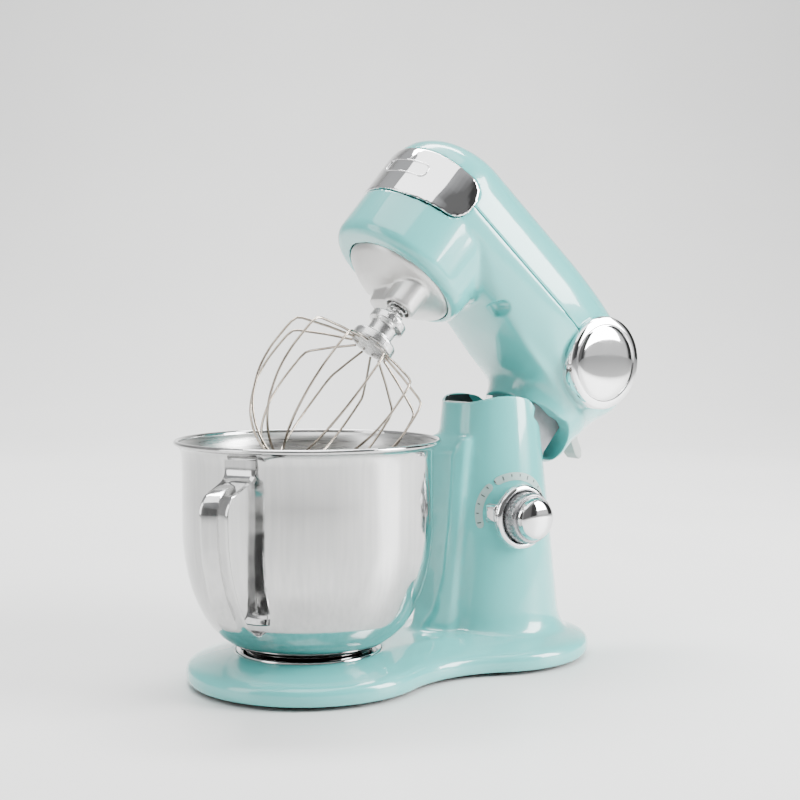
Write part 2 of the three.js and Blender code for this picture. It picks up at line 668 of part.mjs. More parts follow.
function releaseLever() {
  const side = outline([
    [-18, -3], [-4, -4], [4, -5], [10, -14], [20, -19], [27, -20], [29, -16], [25, -11], [14, -6],
    ...arc(0, 0, 6, 20, 150, 4), [-18, 2],
  ]);
  const body = sidePlate(side, -8, 8);
  const bore = alongY(rod(2.3, -20, 20, 12));
  return cut(body, bore).translate([LEVER.x, 0, LEVER.z]);
}

function leverPin() {
  return alongY(rod(2, -12, 12, 12)).translate(LEVER.x, 0, LEVER.z);
}

// ---- planetary drive, on the bowl's axis ----
function planetaryDish() {
  const profile = [
    [8.3, DISH.topZ], [8.3, 214], [14, 213], [30, 219], [42, 227], [48, 232], [DISH.radius, DISH.rimZ],
    [DISH.radius, DISH.topZ], [8.3, DISH.topZ],
  ];
  const dish = turned(profile, 40);
  const boss = turned([[0, 203], [13.5, 203], [14.5, 204.5], [15.5, 236], [0, 236]], 28);
  const tailWidths = [[203.5, 9], [206, 10], [214, 12], [232, 16]];
  const tail = loft(tailWidths.map(([z, half]) => stadium(-half, AXLE_X, half, half, z, 8)));
  const body = join(dish, rod(9, 213, 238, 20), tail.rotateZ(-Math.PI / 2), boss.translate(0, -AXLE_X, 0));
  const axleBore = join(rod(7.4, 190, 260, 20), rod(11, 190, 212, 24)).translate([0, -AXLE_X, 0]);
  const bearingSeat = rod(11.3, 225, 260, 20).translate(0, -AXLE_X, 0);
  return cut(body, axleBore, bearingSeat, rod(6.3, 216, 260, 20));
}

function mainShaft() {
  return rod(6, 217, 302, 20);
}

function wormWheel() {
  const shape = outline(toothPoints(WORM.wheelTeeth, WORM.module, 1, 0.34));
  const geometry = planPlate(shape, -4, 4, 1);
  const position = geometry.attributes.position;
  const pitchRadius = (WORM.module * WORM.wheelTeeth) / 2;
  const lean = (WORM.module / 2 / WORM.radius) / pitchRadius;
  for (let k = 0; k < position.count; k++) {
    const angle = -position.getZ(k) * lean;
    const x = position.getX(k);
    const y = position.getY(k);
    position.setX(k, x * Math.cos(angle) - y * Math.sin(angle));
    position.setY(k, x * Math.sin(angle) + y * Math.cos(angle));
  }
  const wheel = geometry.rotateZ(Math.PI / 2 + (1.5 * Math.PI) / WORM.wheelTeeth).translate(0, 0, WORM.z);
  return cut(wheel, rod(6.3, 280, 310, 20));
}

function axleBearing() {
  return sleeve(6.75, 11, 225.5, 236, 24).translate(0, -AXLE_X, 0);
}

function beaterAxle() {
  const profile = [[0, 172], [4.6, 172], [4.6, 212], [6.5, 213], [6.5, 256], [0, 256]];
  const cross = alongY(rod(2.95, -20, 20, 12)).rotateZ(rad(PIN_DEG)).translate(0, 0, 189);
  return cut(turned(profile, 20), cross).translate([0, -AXLE_X, 0]);
}

function planetGear() {
  const shape = outline(toothPoints(GEAR.planetTeeth, GEAR.module));
  const wheel = planPlate(shape, GEAR.lowZ, GEAR.highZ, 1).rotateZ(-Math.PI / 2 + Math.PI / GEAR.planetTeeth);
  return cut(wheel, rod(6.8, 240, 260, 20)).translate([0, -AXLE_X, 0]);
}

function crossPin() {
  return alongY(rod(2.6, -14.5, 14.5, 12)).rotateZ(rad(PIN_DEG)).translate(0, -AXLE_X, 189);
}

class Helix extends THREE.Curve {
  constructor(radius, lowZ, pitch, turns) {
    super();
    Object.assign(this, { radius, lowZ, pitch, turns });
  }
  getPoint(t, target = new THREE.Vector3()) {
    const angle = t * this.turns * TAU;
    const z = this.lowZ + t * this.turns * this.pitch;
    return target.set(this.radius * Math.cos(angle), this.radius * Math.sin(angle), z);
  }
}

function axleSpring() {
  return tube(new Helix(8, 192.6, 4.2, 3.8), 0.8, 4, 34).translate(0, -AXLE_X, 0);
}

function whiskHub() {
  const profile = [
    [5, 168], [5, 191], [15.4, 191], [16.2, 190.2], [16.2, 184], [12, 182], [11.5, 172], [17.5, 170],
    [19.6, 168.5], [19.6, 161.5], [18.6, HUB_BOTTOM_Z], [0, HUB_BOTTOM_Z], [0, 168], [5, 168],
  ].reverse();
  const slot = block(-20, 20, -3.2, 3.2, 185.6, 195).rotateZ(rad(90 + PIN_DEG));
  return cut(turned(profile, 28), slot).translate([0, -AXLE_X, 0]);
}

// A wire with a polygon section along points in the XZ plane, mitred at every point.
function flatWire(points, radius, sides) {
  const rings = points.map(([x, z], k) => {
    const [x0, z0] = points[Math.max(k - 1, 0)];
    const [x1, z1] = points[Math.min(k + 1, points.length - 1)];
    const length = Math.hypot(x1 - x0, z1 - z0);
    const sideX = (z1 - z0) / length;
    const sideZ = (x0 - x1) / length;
    return arc(0, 0, radius, 0, 360, sides).slice(0, -1).map(([a, b]) => [x + a * sideX, b, z + a * sideZ]);
  });
  return loft(rings);
}

function whiskWires() {
  const { loops, bottomZ, wireRadius } = WHISK;
  const half = [
    [16.5, HUB_BOTTOM_Z - GAP - wireRadius], [38, 151.5], [60, 142.4], [64, 139.4], [65.6, 134], [66.6, 118],
    [66.4, 103], [63, 84], [54, 64], [43, 51], [30, 42], [15, 36.4],
  ];
  const path = [...half, [0, bottomZ], ...half.map(([r, z]) => [-r, z]).reverse()];
  const wires = Array.from({ length: loops }, (_, k) => {
    return flatWire(path, wireRadius, 4).rotateZ(((k + 0.5) * Math.PI) / loops);
  });
  return join(...wires).translate([0, -AXLE_X, 0]);
}

// ---- bowl ----
function bowlShell() {
  const { radius, rimZ, rimRadius, bottomZ, thickness } = BOWL;
  const wall = [
    [0, bottomZ], [46, bottomZ], [66, 36], [82, 50], [93, 69], [101, 94],
    [radius, 125], [radius, 192], [rimRadius - 1.5, 200.6],
  ];
  const inside = wall.map(([r, z], k) => {
    return k === 0 ? [0, z + thickness] : [r - thickness, z + (k < 5 ? 1 : 0.3)];
  });
  const curl = [[1.2, -2], [2, -0.6], [1.2, 1.2], [-1.5, 1.6]];
  const rim = curl.map(([out, up]) => [rimRadius + out, rimZ + up]);
  return turned([...wall, ...rim, ...inside.reverse()], 36);
}

function bowlHandle() {
  const path = [
    [106.9, 195.5], [106.9, 184], [112, 179], [138, 170], [143.5, 162], [144, 152], [142.5, 130],
    [139, 112], [131, 90], [119, 70], [109, 61], [101, 58], [92.5, 60],
  ];
  const thick = 1.8;
  const strip = path.map(([r, z], k) => {
    const [r0, z0] = path[Math.max(k - 1, 0)];
    const [r1, z1] = path[Math.min(k + 1, path.length - 1)];
    const length = Math.hypot(r1 - r0, z1 - z0);
    return [r - (thick * (z0 - z1)) / -length, z + (thick * (r1 - r0)) / length];
  });
  const shape = outline([...path, ...strip.reverse()]);
  const strap = sidePlate(shape, -HANDLE_WIDTH / 2, HANDLE_WIDTH / 2);
  const clear = turned(
    [[0, 20], [66.8, 35], [83, 49], [94, 68], [102, 93], [106.1, 125], [106.1, 210], [0, 210]],
    64,
  );
  return cut(strap.rotateZ(HANDLE_ANGLE), clear);
}

function bowlFoot() {
  const ring = sleeve(43, 51.5, 13.5, BOWL.bottomZ - GAP, 40);
  const lugs = [0, 120, 240].map((deg) => {
    const sector = [...arc(0, 0, 56.3, deg - 10, deg + 10, 3), ...arc(0, 0, 48, deg + 10, deg - 10, 3)];
    return planPlate(outline(sector), 15.5, 20.2);
  });
  return join(ring, ...lugs);
}

// ---- speed knob ----
function speedKnob() {
  const profile = [[0, 41.3], [8, 41.3], [8, 58.6], [22.4, 58.6], [22.4, 73], [20.5, 75], [0, 75]];
  const body = alongY(turned(profile, 36)).rotateZ(Math.PI);
  const grooves = Array.from({ length: 12 }, (_, k) => {
    const groove = alongY(rod(1.6, 60, 80, 6)).rotateZ(Math.PI).translate(22.8, 0, 0);
    return groove.rotateY((k * TAU) / 12);
  });
  return cut(body, ...grooves).translate([KNOB.x, 0, KNOB.z]);
}

function knobCap() {
  const profile = [[0, 75.3], [18.4, 75.3], [18.4, 78], [17, 80], [12, 83], [6, 84.5], [0, 85]];
  return alongY(turned(profile, 32)).rotateZ(Math.PI).translate(KNOB.x, 0, KNOB.z);
}

// ---- assembly ----
function add(group, name, part, material) {
  const geometry = part.isBufferGeometry ? part : toGeometry(part);
  const mesh = new THREE.Mesh(geometry, material);
  mesh.name = name;
  group.add(mesh);
}

const stand = new THREE.Group();
add(stand, "stand_housing", standHousing(), AQUA);
add(stand, "base_plate", basePlate(), BLACK);
FEET.forEach(([x, y], k) => add(stand, `foot_${k + 1}`, foot().translate(x, y, 0), RUBBER));
add(stand, "bowl_clamp_ring", bowlClampRing(), CHROME);
add(stand, "latch_plate", latchPlate(), GREY);
add(stand, "hinge_pin", hingePin(), STEEL);
add(stand, "knob_bezel", knobBezel(), CHROME);
add(stand, "speed_switch", speedSwitch(), BLACK);
add(stand, "control_board", controlBoard(), BOARD);
add(stand, "cord_gland", cordGland(), RUBBER);
add(stand, "speed_knob", speedKnob(), GREY);
add(stand, "knob_cap", knobCap(), CHROME);
add(stand, "bowl_shell", bowlShell(), STEEL);
add(stand, "bowl_handle", bowlHandle(), STEEL);
add(stand, "bowl_foot", bowlFoot(), STEEL);

const head = new THREE.Group();
const [lowerShell, upperShell] = splitShell(shellSolid());
add(head, "head_lower_housing", lowerShell, AQUA);
add(head, "head_top_cover", upperShell, AQUA);
add(head, "nose_band", noseBand(), CHROME);
add(head, "side_cap_left", sideCap(-1), CHROME);
add(head, "side_cap_right", sideCap(1), CHROME);
add(head, "head_frame", headFrame(), CAST);
add(head, "hinge_bush_left", hingeBush(-1), BRASS);
add(head, "hinge_bush_right", hingeBush(1), BRASS);
add(head, "ring_gear", ringGear(), STEEL);
add(head, "main_bearing", mainBearing(), BRASS);
add(head, "motor_stator", motorStator(), IRON);
add(head, "field_coil_outer", fieldCoil(1), COPPER);
add(head, "field_coil_inner", fieldCoil(-1), COPPER);
add(head, "front_motor_bearing", motorBearing(24, DECK.noseHighZ), CAST);
add(head, "rear_motor_bearing", motorBearing(165, DECK.highZ), CAST);
add(head, "brush_outer", brush(1), BLACK);
add(head, "brush_inner", brush(-1), BLACK);
add(head, "motor_shaft", motorShaft(), STEEL);
add(head, "armature_core", armatureCore(), IRON);
add(head, "armature_winding", armatureWinding(112, 119.5), COPPER);
add(head, "commutator", commutator(), COPPER);
add(head, "cooling_fan", coolingFan(), BLACK);
add(head, "release_lever", releaseLever(), GREY);
add(head, "lever_pin", leverPin(), STEEL);
add(head, "planetary_dish", planetaryDish(), SILVER);
add(head, "main_shaft", mainShaft(), STEEL);
add(head, "worm_wheel", wormWheel(), BRASS);
add(head, "axle_bearing", axleBearing(), BRASS);
add(head, "beater_axle", beaterAxle(), STEEL);
add(head, "planet_gear", planetGear(), STEEL);
add(head, "cross_pin", crossPin(), STEEL);
add(head, "axle_spring", axleSpring(), STEEL);
add(head, "whisk_hub", whiskHub(), STEEL);
add(head, "whisk_wires", whiskWires(), STEEL);

// Closed pieces are drawn round the hinge, then tilted up with it.
head.position.set(-HINGE.x, 0, -HINGE.z);
const tilt = new THREE.Group();
tilt.add(head);
tilt.rotation.y = rad(HINGE.openDeg);
tilt.position.set(HINGE.x, 0, HINGE.z);

const group = new THREE.Group();
group.add(stand, tilt);
group.position.x = -CENTRE_X;

export default group;
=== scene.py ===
"""Looks for a tilt-head stand mixer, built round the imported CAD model.

Pieces are drawn in the CAD's layout: millimetres from the bowl's axis, with the head drawn closed.
STAND_SPACE and HEAD_SPACE then take them to the row frame in metres, the head tilted up as at rest.
"""

import json
import math
from math import cos, pi, radians, sin

import bmesh
import bpy
from mathutils import Matrix, Vector


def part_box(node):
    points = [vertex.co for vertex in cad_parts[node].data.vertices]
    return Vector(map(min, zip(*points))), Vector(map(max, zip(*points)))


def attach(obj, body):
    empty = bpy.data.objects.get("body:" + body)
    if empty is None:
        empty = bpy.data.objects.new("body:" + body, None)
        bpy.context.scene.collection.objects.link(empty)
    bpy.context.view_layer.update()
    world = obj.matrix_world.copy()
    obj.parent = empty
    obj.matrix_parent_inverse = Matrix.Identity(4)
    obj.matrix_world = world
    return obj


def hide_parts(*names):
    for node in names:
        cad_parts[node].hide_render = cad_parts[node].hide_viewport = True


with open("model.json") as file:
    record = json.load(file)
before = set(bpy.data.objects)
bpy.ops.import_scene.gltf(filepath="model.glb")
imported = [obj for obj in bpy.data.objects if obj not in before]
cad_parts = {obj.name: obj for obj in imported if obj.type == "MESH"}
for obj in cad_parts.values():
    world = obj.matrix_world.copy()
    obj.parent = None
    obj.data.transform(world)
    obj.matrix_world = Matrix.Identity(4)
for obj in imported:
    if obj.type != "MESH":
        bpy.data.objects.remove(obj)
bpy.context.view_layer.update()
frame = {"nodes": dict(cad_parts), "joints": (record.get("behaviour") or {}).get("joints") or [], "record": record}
JOINTS = {joint["name"]: joint for joint in frame["joints"]}

# ---- layout, from the frame ----
MM = 0.001
TILT = JOINTS["head_tilt"]
KNOB_JOINT = JOINTS["speed_knob_turn"]
BOWL_X = JOINTS["bowl_twist"]["pos_m"][0]
HINGE = Vector(TILT["pos_m"])
HINGE_X = (HINGE.x - BOWL_X) / MM
HINGE_Z = HINGE.z / MM
KNOB_X = (KNOB_JOINT["pos_m"][0] - BOWL_X) / MM
KNOB_Z = KNOB_JOINT["pos_m"][2] / MM
STAND_SPACE = Matrix.Translation((BOWL_X, 0, 0)) @ Matrix.Scale(MM, 4)
OPEN = Matrix.Rotation(radians(TILT["range_deg"][1]), 4, "Y")
HEAD_SPACE = Matrix.Translation(HINGE) @ OPEN @ Matrix.Translation(-HINGE) @ STAND_SPACE

# ---- driving dimensions, in millimetres ----
WALL = 3
GAP = 0.3
FAR = 400
BASE = {"front": 103, "rear": 97, "rear_x": 183, "waist": 102}
COLUMN_X = 191.5
COLUMN_RADIUS = 44
COLUMN_TOP = 228
COLUMN_TAPER = 0.1
SPINE_HALF = 27
SPINE_TOP = 194  # 203 in the CAD
SPINE_RISE = 8
SLOT_HALF = 32.5
TONGUE_ROOM = 31.5
EAR = {"radius": 72.5, "corner_x": 194, "corner_z": 211, "corner": 24, "heel_z": 212}
DRUM_RADIUS = 46
TONGUE_REAR = 205
CORD = {"turn": 18, "z": 12.5}
REAR_RIM_Z = 169
SEAM_Z = 306
NOSE_BOTTOM = 234
BAND = {"top": 325, "bottom": 283, "end_x": -15, "corner": 17}
CAP = {"x": 187.5, "y": 59, "z": 302.5, "radius": 42.5, "turn": 3}
AXLE_X = 30
PIN_TURN = radians(-28)
DISH_RADIUS = 50
HUB_BOTTOM = 160.5
HANDLE_ANGLE = pi + 0.535
WIRE_RADIUS = 1.05  # 1.2 in the CAD
LOOPS = 6
FOOT_COUNT = 5
LUG_TURNS = (0, 120, 240)  # the bowl's three lugs and the slots that take them
SIDE_HOLE = {"x": 72, "z": 265, "radius": 11, "floor": 33}  # the blind recess in the head's flank
LEVER_PIVOT = {"x": 233, "z": 262}
COARSE_VOXEL = 2.0  # the painted castings, where they blend into each other
CASTING_VOXEL = 1.3  # and their edges
CASTING_KEPT = 0.3  # share of the casting's faces left after thinning

# Head outline by height: half width, front of the nose, front of the neck, rear end, start of the taper.
HALF_WIDTH = [
    (204, 46.5), (242, 47.5), (262, 49), (276, 55), (290, 59.5), (306, 61.5),
    (322, 61), (336, 57.5), (348, 50.5), (356, 41), (361, 30), (364, 14),
]
NOSE_FRONT = [(204, -70), (318, -70), (336, -67), (348, -59), (356, -47), (361, -33), (364, -14)]
NECK_FRONT = [
    (204, 147.5), (232, 147), (243, 143.5), (251, 135.5), (255, 123), (257, 109), (258, 97),
    (261, 77), (264, 55), (268, 20), (290, -40),
]
REAR_END = [
    (204, 218), (209, 224), (216, 230), (225, 234), (238, 235), (251, 239), (266, 246), (283, 253.5),
    (290, 258), (306, 265), (322, 266.5), (336, 263), (348, 254), (356, 240), (361, 224), (364, 200),
]
REAR_START = [(204, 195), (251, 195), (290, 110), (364, 110)]
NOSE_LIP = [(234, 6.5), (236, 3.4), (239, 1.2), (243, 0), (290.5, 0)]


# ---- curves ----
def between(table, key):
    """Smooth, never overshooting interpolation through (key, value) pairs."""
    if key <= table[0][0]:
        return table[0][1]
    if key >= table[-1][0]:
        return table[-1][1]
    k = next(i for i in range(len(table) - 1) if table[i + 1][0] >= key)
    slopes = [(b[1] - a[1]) / (b[0] - a[0]) for a, b in zip(table, table[1:])]

    def tangent(i):
        if i == 0 or i == len(slopes):
            return slopes[min(i, len(slopes) - 1)]
        before, after = slopes[i - 1], slopes[i]
        return 0 if before * after <= 0 else 2 * before * after / (before + after)

    (x0, y0), (x1, y1) = table[k], table[k + 1]
    span = x1 - x0
    t = (key - x0) / span
    return (
        y0 * (1 + 2 * t) * (1 - t) ** 2
        + tangent(k) * span * t * (1 - t) ** 2
        + y1 * t * t * (3 - 2 * t)
        + tangent(k + 1) * span * t * t * (t - 1)
    )


def arc(x, y, radius, start, end, steps):
    """Points round a centre, angles in degrees."""
    angles = [radians(start + (end - start) * k / steps) for k in range(steps + 1)]
    return [(x + radius * cos(a), y + radius * sin(a)) for a in angles]


def rounded(points, radius, steps=4, closed=False):
    """The same outline with each corner eased by a short curve."""
    count = len(points)
    out = []
    for k, point in enumerate(points):
        if not closed and k in (0, count - 1):
            out.append(point)
            continue
        here = Vector(point)
        before = Vector(points[k - 1]) - here
        after = Vector(points[(k + 1) % count]) - here
        reach = min(radius, before.length * 0.45, after.length * 0.45)
        a = here + before.normalized() * reach
        b = here + after.normalized() * reach
        for step in range(steps + 1):
            t = step / steps
            out.append(tuple(a * (1 - t) ** 2 + here * 2 * t * (1 - t) + b * t * t))
    return out


def levels(low, high, step):
    count = max(1, round((high - low) / step))
    return [low + (high - low) * k / count for k in range(count + 1)]


def smooth_path(points, step):
    """Catmull-Rom through the points, resampled about every step."""
    out = []
    for k in range(len(points) - 1):
        p0 = Vector(points[max(k - 1, 0)])
        p1, p2 = Vector(points[k]), Vector(points[k + 1])
        p3 = Vector(points[min(k + 2, len(points) - 1)])
        count = max(1, round((p2 - p1).length / step))
        for j in range(count):
            t = j / count
            out.append(
                (p1 * 2 + (p2 - p0) * t + (p0 * 2 - p1 * 5 + p2 * 4 - p3) * t * t
                 + (p1 * 3 - p0 - p2 * 3 + p3) * t**3) / 2
            )
    return out + [Vector(points[-1])]


# ---- mesh building ----
def build(name, points, faces):
    mesh = bpy.data.meshes.new(name)
    mesh.from_pydata([tuple(p) for p in points], [], faces)
    work = bmesh.new()
    work.from_mesh(mesh)
    bmesh.ops.remove_doubles(work, verts=work.verts, dist=1e-5)
    bmesh.ops.recalc_face_normals(work, faces=work.faces)
    work.to_mesh(mesh)
    work.free()
    obj = bpy.data.objects.new(name, mesh)
    bpy.context.scene.collection.objects.link(obj)
    return obj


def loft(rings):
    """Skins a stack of closed outlines with the same number of points."""
    count = len(rings[0])
    points = [p for ring in rings for p in ring]
    faces = []
    for level in range(len(rings) - 1):
        for k in range(count):
            a = level * count + k
            b = level * count + (k + 1) % count
            faces.append((a, b, b + count, a + count))
    faces.append(tuple(range(count))[::-1])
    faces.append(tuple(range(len(points) - count, len(points))))
    return build("loft", points, faces)


def turned(profile, segments=96, closed=False):
    """Turns a (radius, z) profile about the Z axis. A closed profile makes a ring."""
    points = []
    rows = []
    angles = [2 * pi * k / segments for k in range(segments)]
    for r, z in profile:
        if r < 1e-6:
            rows.append([len(points)] * segments)
            points.append((0, 0, z))
        else:
            rows.append(list(range(len(points), len(points) + segments)))
            points += [(r * cos(a), r * sin(a), z) for a in angles]
    pairs = list(zip(rows, rows[1:])) + ([(rows[-1], rows[0])] if closed else [])
    faces = []
    for low, high in pairs:
        for k in range(segments):
            j = (k + 1) % segments
            corner = [low[k], low[j], high[j], high[k]]
            face = tuple(dict.fromkeys(corner))
            if len(face) > 2:
                faces.append(face)
    return build("turned", points, faces)


def plate(points, low, high, plane="xz"):
    """Extrudes an outline along the axis that its plane leaves out."""
    count = len(points)
    upright = plane == "xz"
    verts = [(a, h, b) if upright else (a, b, h) for h in (low, high) for a, b in points]
    faces = [(k, (k + 1) % count, (k + 1) % count + count, k + count) for k in range(count)]
    faces += [tuple(range(count))[::-1], tuple(range(count, 2 * count))]
    return build("plate", verts, faces)


def block(low_x, high_x, low_y, high_y, low_z, high_z):
    outline = [(low_x, low_z), (high_x, low_z), (high_x, high_z), (low_x, high_z)]
    return plate(outline, low_y, high_y)


def rod(radius, low, high, segments=48):
    return turned([(0, low), (radius, low), (radius, high), (0, high)], segments)


def place(obj, matrix):
    obj.data.transform(matrix)
    return obj


def ring_tube(path, radius, sides):
    """A round bar along a closed path."""
    count = len(path)
    points, faces = [], []
    centre = sum(path, Vector()) / count
    for k, here in enumerate(path):
        along = (path[(k + 1) % count] - path[k - 1]).normalized()
        out = (here - centre) - along * (here - centre).dot(along)
        out.normalize()
        side = along.cross(out)
        for j in range(sides):
            angle = 2 * pi * j / sides
            points.append(here + (out * cos(angle) + side * sin(angle)) * radius)
            a, b = k * sides + j, k * sides + (j + 1) % sides
            ahead = ((k + 1) % count) * sides
            faces.append((a, b, ahead + (j + 1) % sides, ahead + j))
    return build("ring", points, faces)


def text_mesh(text, size):
    curve = bpy.data.curves.new("text", "FONT")
    curve.body = text
    curve.size = size
    curve.align_x = "CENTER"
    curve.align_y = "CENTER"
    curve.extrude = 0.12
    curve.resolution_u = 3
    holder = bpy.data.objects.new("text", curve)
    bpy.context.scene.collection.objects.link(holder)
    graph = bpy.context.evaluated_depsgraph_get()
    mesh = bpy.data.meshes.new_from_object(holder.evaluated_get(graph))
    bpy.data.objects.remove(holder)
    obj = bpy.data.objects.new("text", mesh)
    bpy.context.scene.collection.objects.link(obj)
    return obj


ALONG_Y = Matrix.Rotation(pi / 2, 4, "X")  # +Z to -Y, the knob's side


def apply_modifiers(obj):
    graph = bpy.context.evaluated_depsgraph_get()
    mesh = bpy.data.meshes.new_from_object(obj.evaluated_get(graph))
    obj.modifiers.clear()
    obj.data = mesh
    return obj


def combine(operation, obj, *tools):
    for tool in tools:
        modifier = obj.modifiers.new("combine", "BOOLEAN")
        modifier.operation = operation
        modifier.solver = "MANIFOLD"
        modifier.object = tool
        apply_modifiers(obj)
        bpy.data.objects.remove(tool)
    return obj


def cut(obj, *tools):
    return combine("DIFFERENCE", obj, *tools)


def join(obj, *tools):
    return combine("UNION", obj, *tools)


def common(obj, *tools):
    return combine("INTERSECT", obj, *tools)


def remesh(obj, voxel):
    modifier = obj.modifiers.new("remesh", "REMESH")
    modifier.mode = "VOXEL"
    modifier.voxel_size = voxel
    return apply_modifiers(obj)


def relax(obj, times, weight=None):
    """Smooths a mesh, by a share that weight gives for each point when there is one."""
    modifier = obj.modifiers.new("relax", "SMOOTH")
    modifier.iterations = times
    modifier.factor = 0.5
    if weight is not None:
        group = obj.vertex_groups.new(name="relax")
        for vertex in obj.data.vertices:
            group.add([vertex.index], weight(vertex.co), "REPLACE")
        modifier.vertex_group = "relax"
    apply_modifiers(obj)
    obj.vertex_groups.clear()
    return obj


def thin_out(obj, ratio):
    modifier = obj.modifiers.new("thin", "DECIMATE")
    modifier.ratio = ratio
    return apply_modifiers(obj)


def soften(obj, voxel, times, ratio=1):
    """Rounds every edge by about two voxels."""
    relax(remesh(obj, voxel), times)
    return thin_out(obj, ratio) if ratio < 1 else obj


def shade(obj, sharp_over=40):
    work = bmesh.new()
    work.from_mesh(obj.data)
    for face in work.faces:
        face.smooth = True
    for edge in work.edges:
        edge.smooth = len(edge.link_faces) != 2 or edge.calc_face_angle(0) < radians(sharp_over)
    work.to_mesh(obj.data)
    work.free()
    return obj


def settle(obj, name, body, material, replaces=(), space=None, sharp_over=40):
    """Names a finished piece, takes it to the row frame and ties it to its CAD body."""
    shade(obj, sharp_over)
    if space is not None:
        place(obj, space)
    obj.name = name
    obj.data.name = name
    obj.data.materials.clear()
    obj.data.materials.append(material)
    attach(obj, body)
    if replaces:
        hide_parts(*replaces)
    return obj


# ---- materials ----
def shader(name, color, roughness, metallic=0.0, **sockets):
    material = bpy.data.materials.new(name)
    material.use_nodes = True
    principled = material.node_tree.nodes["Principled BSDF"]
    principled.inputs["Base Color"].default_value = (*color, 1)
    principled.inputs["Roughness"].default_value = roughness
    principled.inputs["Metallic"].default_value = metallic
    for socket, value in sockets.items():
        principled.inputs[socket.replace("_", " ")].default_value = value
    return material, material.node_tree, principled


def noise(tree, scale, detail, stretch=(1, 1, 1)):
    coordinates = tree.nodes.new("ShaderNodeTexCoord")
    mapping = tree.nodes.new("ShaderNodeMapping")
    mapping.inputs["Scale"].default_value = stretch
    texture = tree.nodes.new("ShaderNodeTexNoise")
    texture.inputs["Scale"].default_value = scale
    texture.inputs["Detail"].default_value = detail
    tree.links.new(coordinates.outputs["Object"], mapping.inputs["Vector"])
    tree.links.new(mapping.outputs["Vector"], texture.inputs["Vector"])
    return texture.outputs[0]


def spread(tree, value, low, high):
    """Maps a noise output from its usual 0.3 to 0.7 onto low to high."""
    node = tree.nodes.new("ShaderNodeMapRange")
    node.inputs["From Min"].default_value = 0.3
    node.inputs["From Max"].default_value = 0.7
    node.inputs["To Min"].default_value = low
    node.inputs["To Max"].default_value = high
    tree.links.new(value, node.inputs["Value"])
    return node.outputs["Result"]


def tint(tree, principled, value, low, high):
    ramp = tree.nodes.new("ShaderNodeValToRGB")
    ramp.color_ramp.elements[0].position = 0.3
    ramp.color_ramp.elements[0].color = (*low, 1)
    ramp.color_ramp.elements[1].position = 0.7
    ramp.color_ramp.elements[1].color = (*high, 1)
    tree.links.new(value, ramp.inputs["Fac"])
    tree.links.new(ramp.outputs["Color"], principled.inputs["Base Color"])


def bump(tree, principled, value, strength, distance=0.0002):
    node = tree.nodes.new("ShaderNodeBump")
    node.inputs["Strength"].default_value = strength
    node.inputs["Distance"].default_value = distance
    tree.links.new(value, node.inputs["Height"])
    tree.links.new(node.outputs["Normal"], principled.inputs["Normal"])


def vary_roughness(tree, principled, value, low, high):
    tree.links.new(spread(tree, value, low, high), principled.inputs["Roughness"])


def mottled(name, low, high, roughness, metallic=0.0, scale=30, grain=0, grain_strength=0.1, **sockets):
    """A surface whose colour and gloss drift a little, with an optional fine grain."""
    material, tree, principled = shader(name, low, sum(roughness) / 2, metallic, **sockets)
    drift = noise(tree, scale, 3)
    tint(tree, principled, drift, low, high)
    vary_roughness(tree, principled, noise(tree, scale * 3, 4), *roughness)
    if grain:
        bump(tree, principled, noise(tree, grain, 2), grain_strength)
    return material


def brushed(name, low, high, roughness, stretch, scale=400):
    """Metal with fine parallel lines: noise drawn out along one direction."""
    material, tree, principled = shader(name, low, sum(roughness) / 2, 1.0)
    lines = noise(tree, scale, 3, stretch)
    tint(tree, principled, lines, low, high)
    vary_roughness(tree, principled, lines, *roughness)
    bump(tree, principled, lines, 0.12, 0.0001)
    return material


AQUA_LOW = (0.1, 0.5, 0.485)
AQUA_HIGH = (0.12, 0.53, 0.51)
PAINT = mottled("aqua_enamel", AQUA_LOW, AQUA_HIGH, (0.2, 0.26), scale=9, grain=900,
                grain_strength=0.02, Coat_Weight=1.0, Coat_Roughness=0.04)
CHROME = mottled("chrome_plate", (0.74, 0.74, 0.75), (0.8, 0.8, 0.8), (0.03, 0.07), 1.0, scale=14)
BOWL_OUT = brushed("polished_steel", (0.5, 0.5, 0.5), (0.58, 0.58, 0.575), (0.06, 0.13), (1, 1, 0.05), 260)
BOWL_IN = brushed("brushed_steel", (0.46, 0.46, 0.455), (0.56, 0.56, 0.55), (0.24, 0.36),
                  (0.05, 0.05, 1), 700)
WIRE = mottled("drawn_wire", (0.33, 0.285, 0.235), (0.46, 0.41, 0.35), (0.14, 0.24), 1.0, scale=120)
SILVER = mottled("silver_enamel", (0.6, 0.59, 0.58), (0.66, 0.655, 0.64), (0.3, 0.38), 0.75, scale=40,
                 grain=1500, grain_strength=0.06)
CAST = mottled("cast_metal", (0.16, 0.17, 0.18), (0.22, 0.23, 0.24), (0.5, 0.65), 0.35, scale=60,
               grain=700, grain_strength=0.35)
GREY = mottled("grey_plastic", (0.36, 0.38, 0.36), (0.42, 0.44, 0.42), (0.38, 0.48), scale=40,
               grain=1200, grain_strength=0.15)
DIAL_GREY = mottled("dial_grey", (0.3, 0.3, 0.31), (0.38, 0.38, 0.39), (0.22, 0.3), 0.8, scale=50,
                    grain=1200, grain_strength=0.08)
BLACK = mottled("black_plastic", (0.012, 0.012, 0.013), (0.024, 0.024, 0.026), (0.4, 0.55), scale=50,
                grain=1500, grain_strength=0.2)
# painted shade: a near-black grey for the column's inner walls, where the hollow is in shade
HOLLOW_SHADE = mottled("painted_hollow_shade", (0.05, 0.052, 0.054), (0.08, 0.082, 0.085), (0.35, 0.5), scale=50,
                grain=1200, grain_strength=0.15)
RUBBER = mottled("rubber_black", (0.015, 0.015, 0.016), (0.03, 0.03, 0.031), (0.7, 0.85), scale=60,
                 grain=1300, grain_strength=0.25)
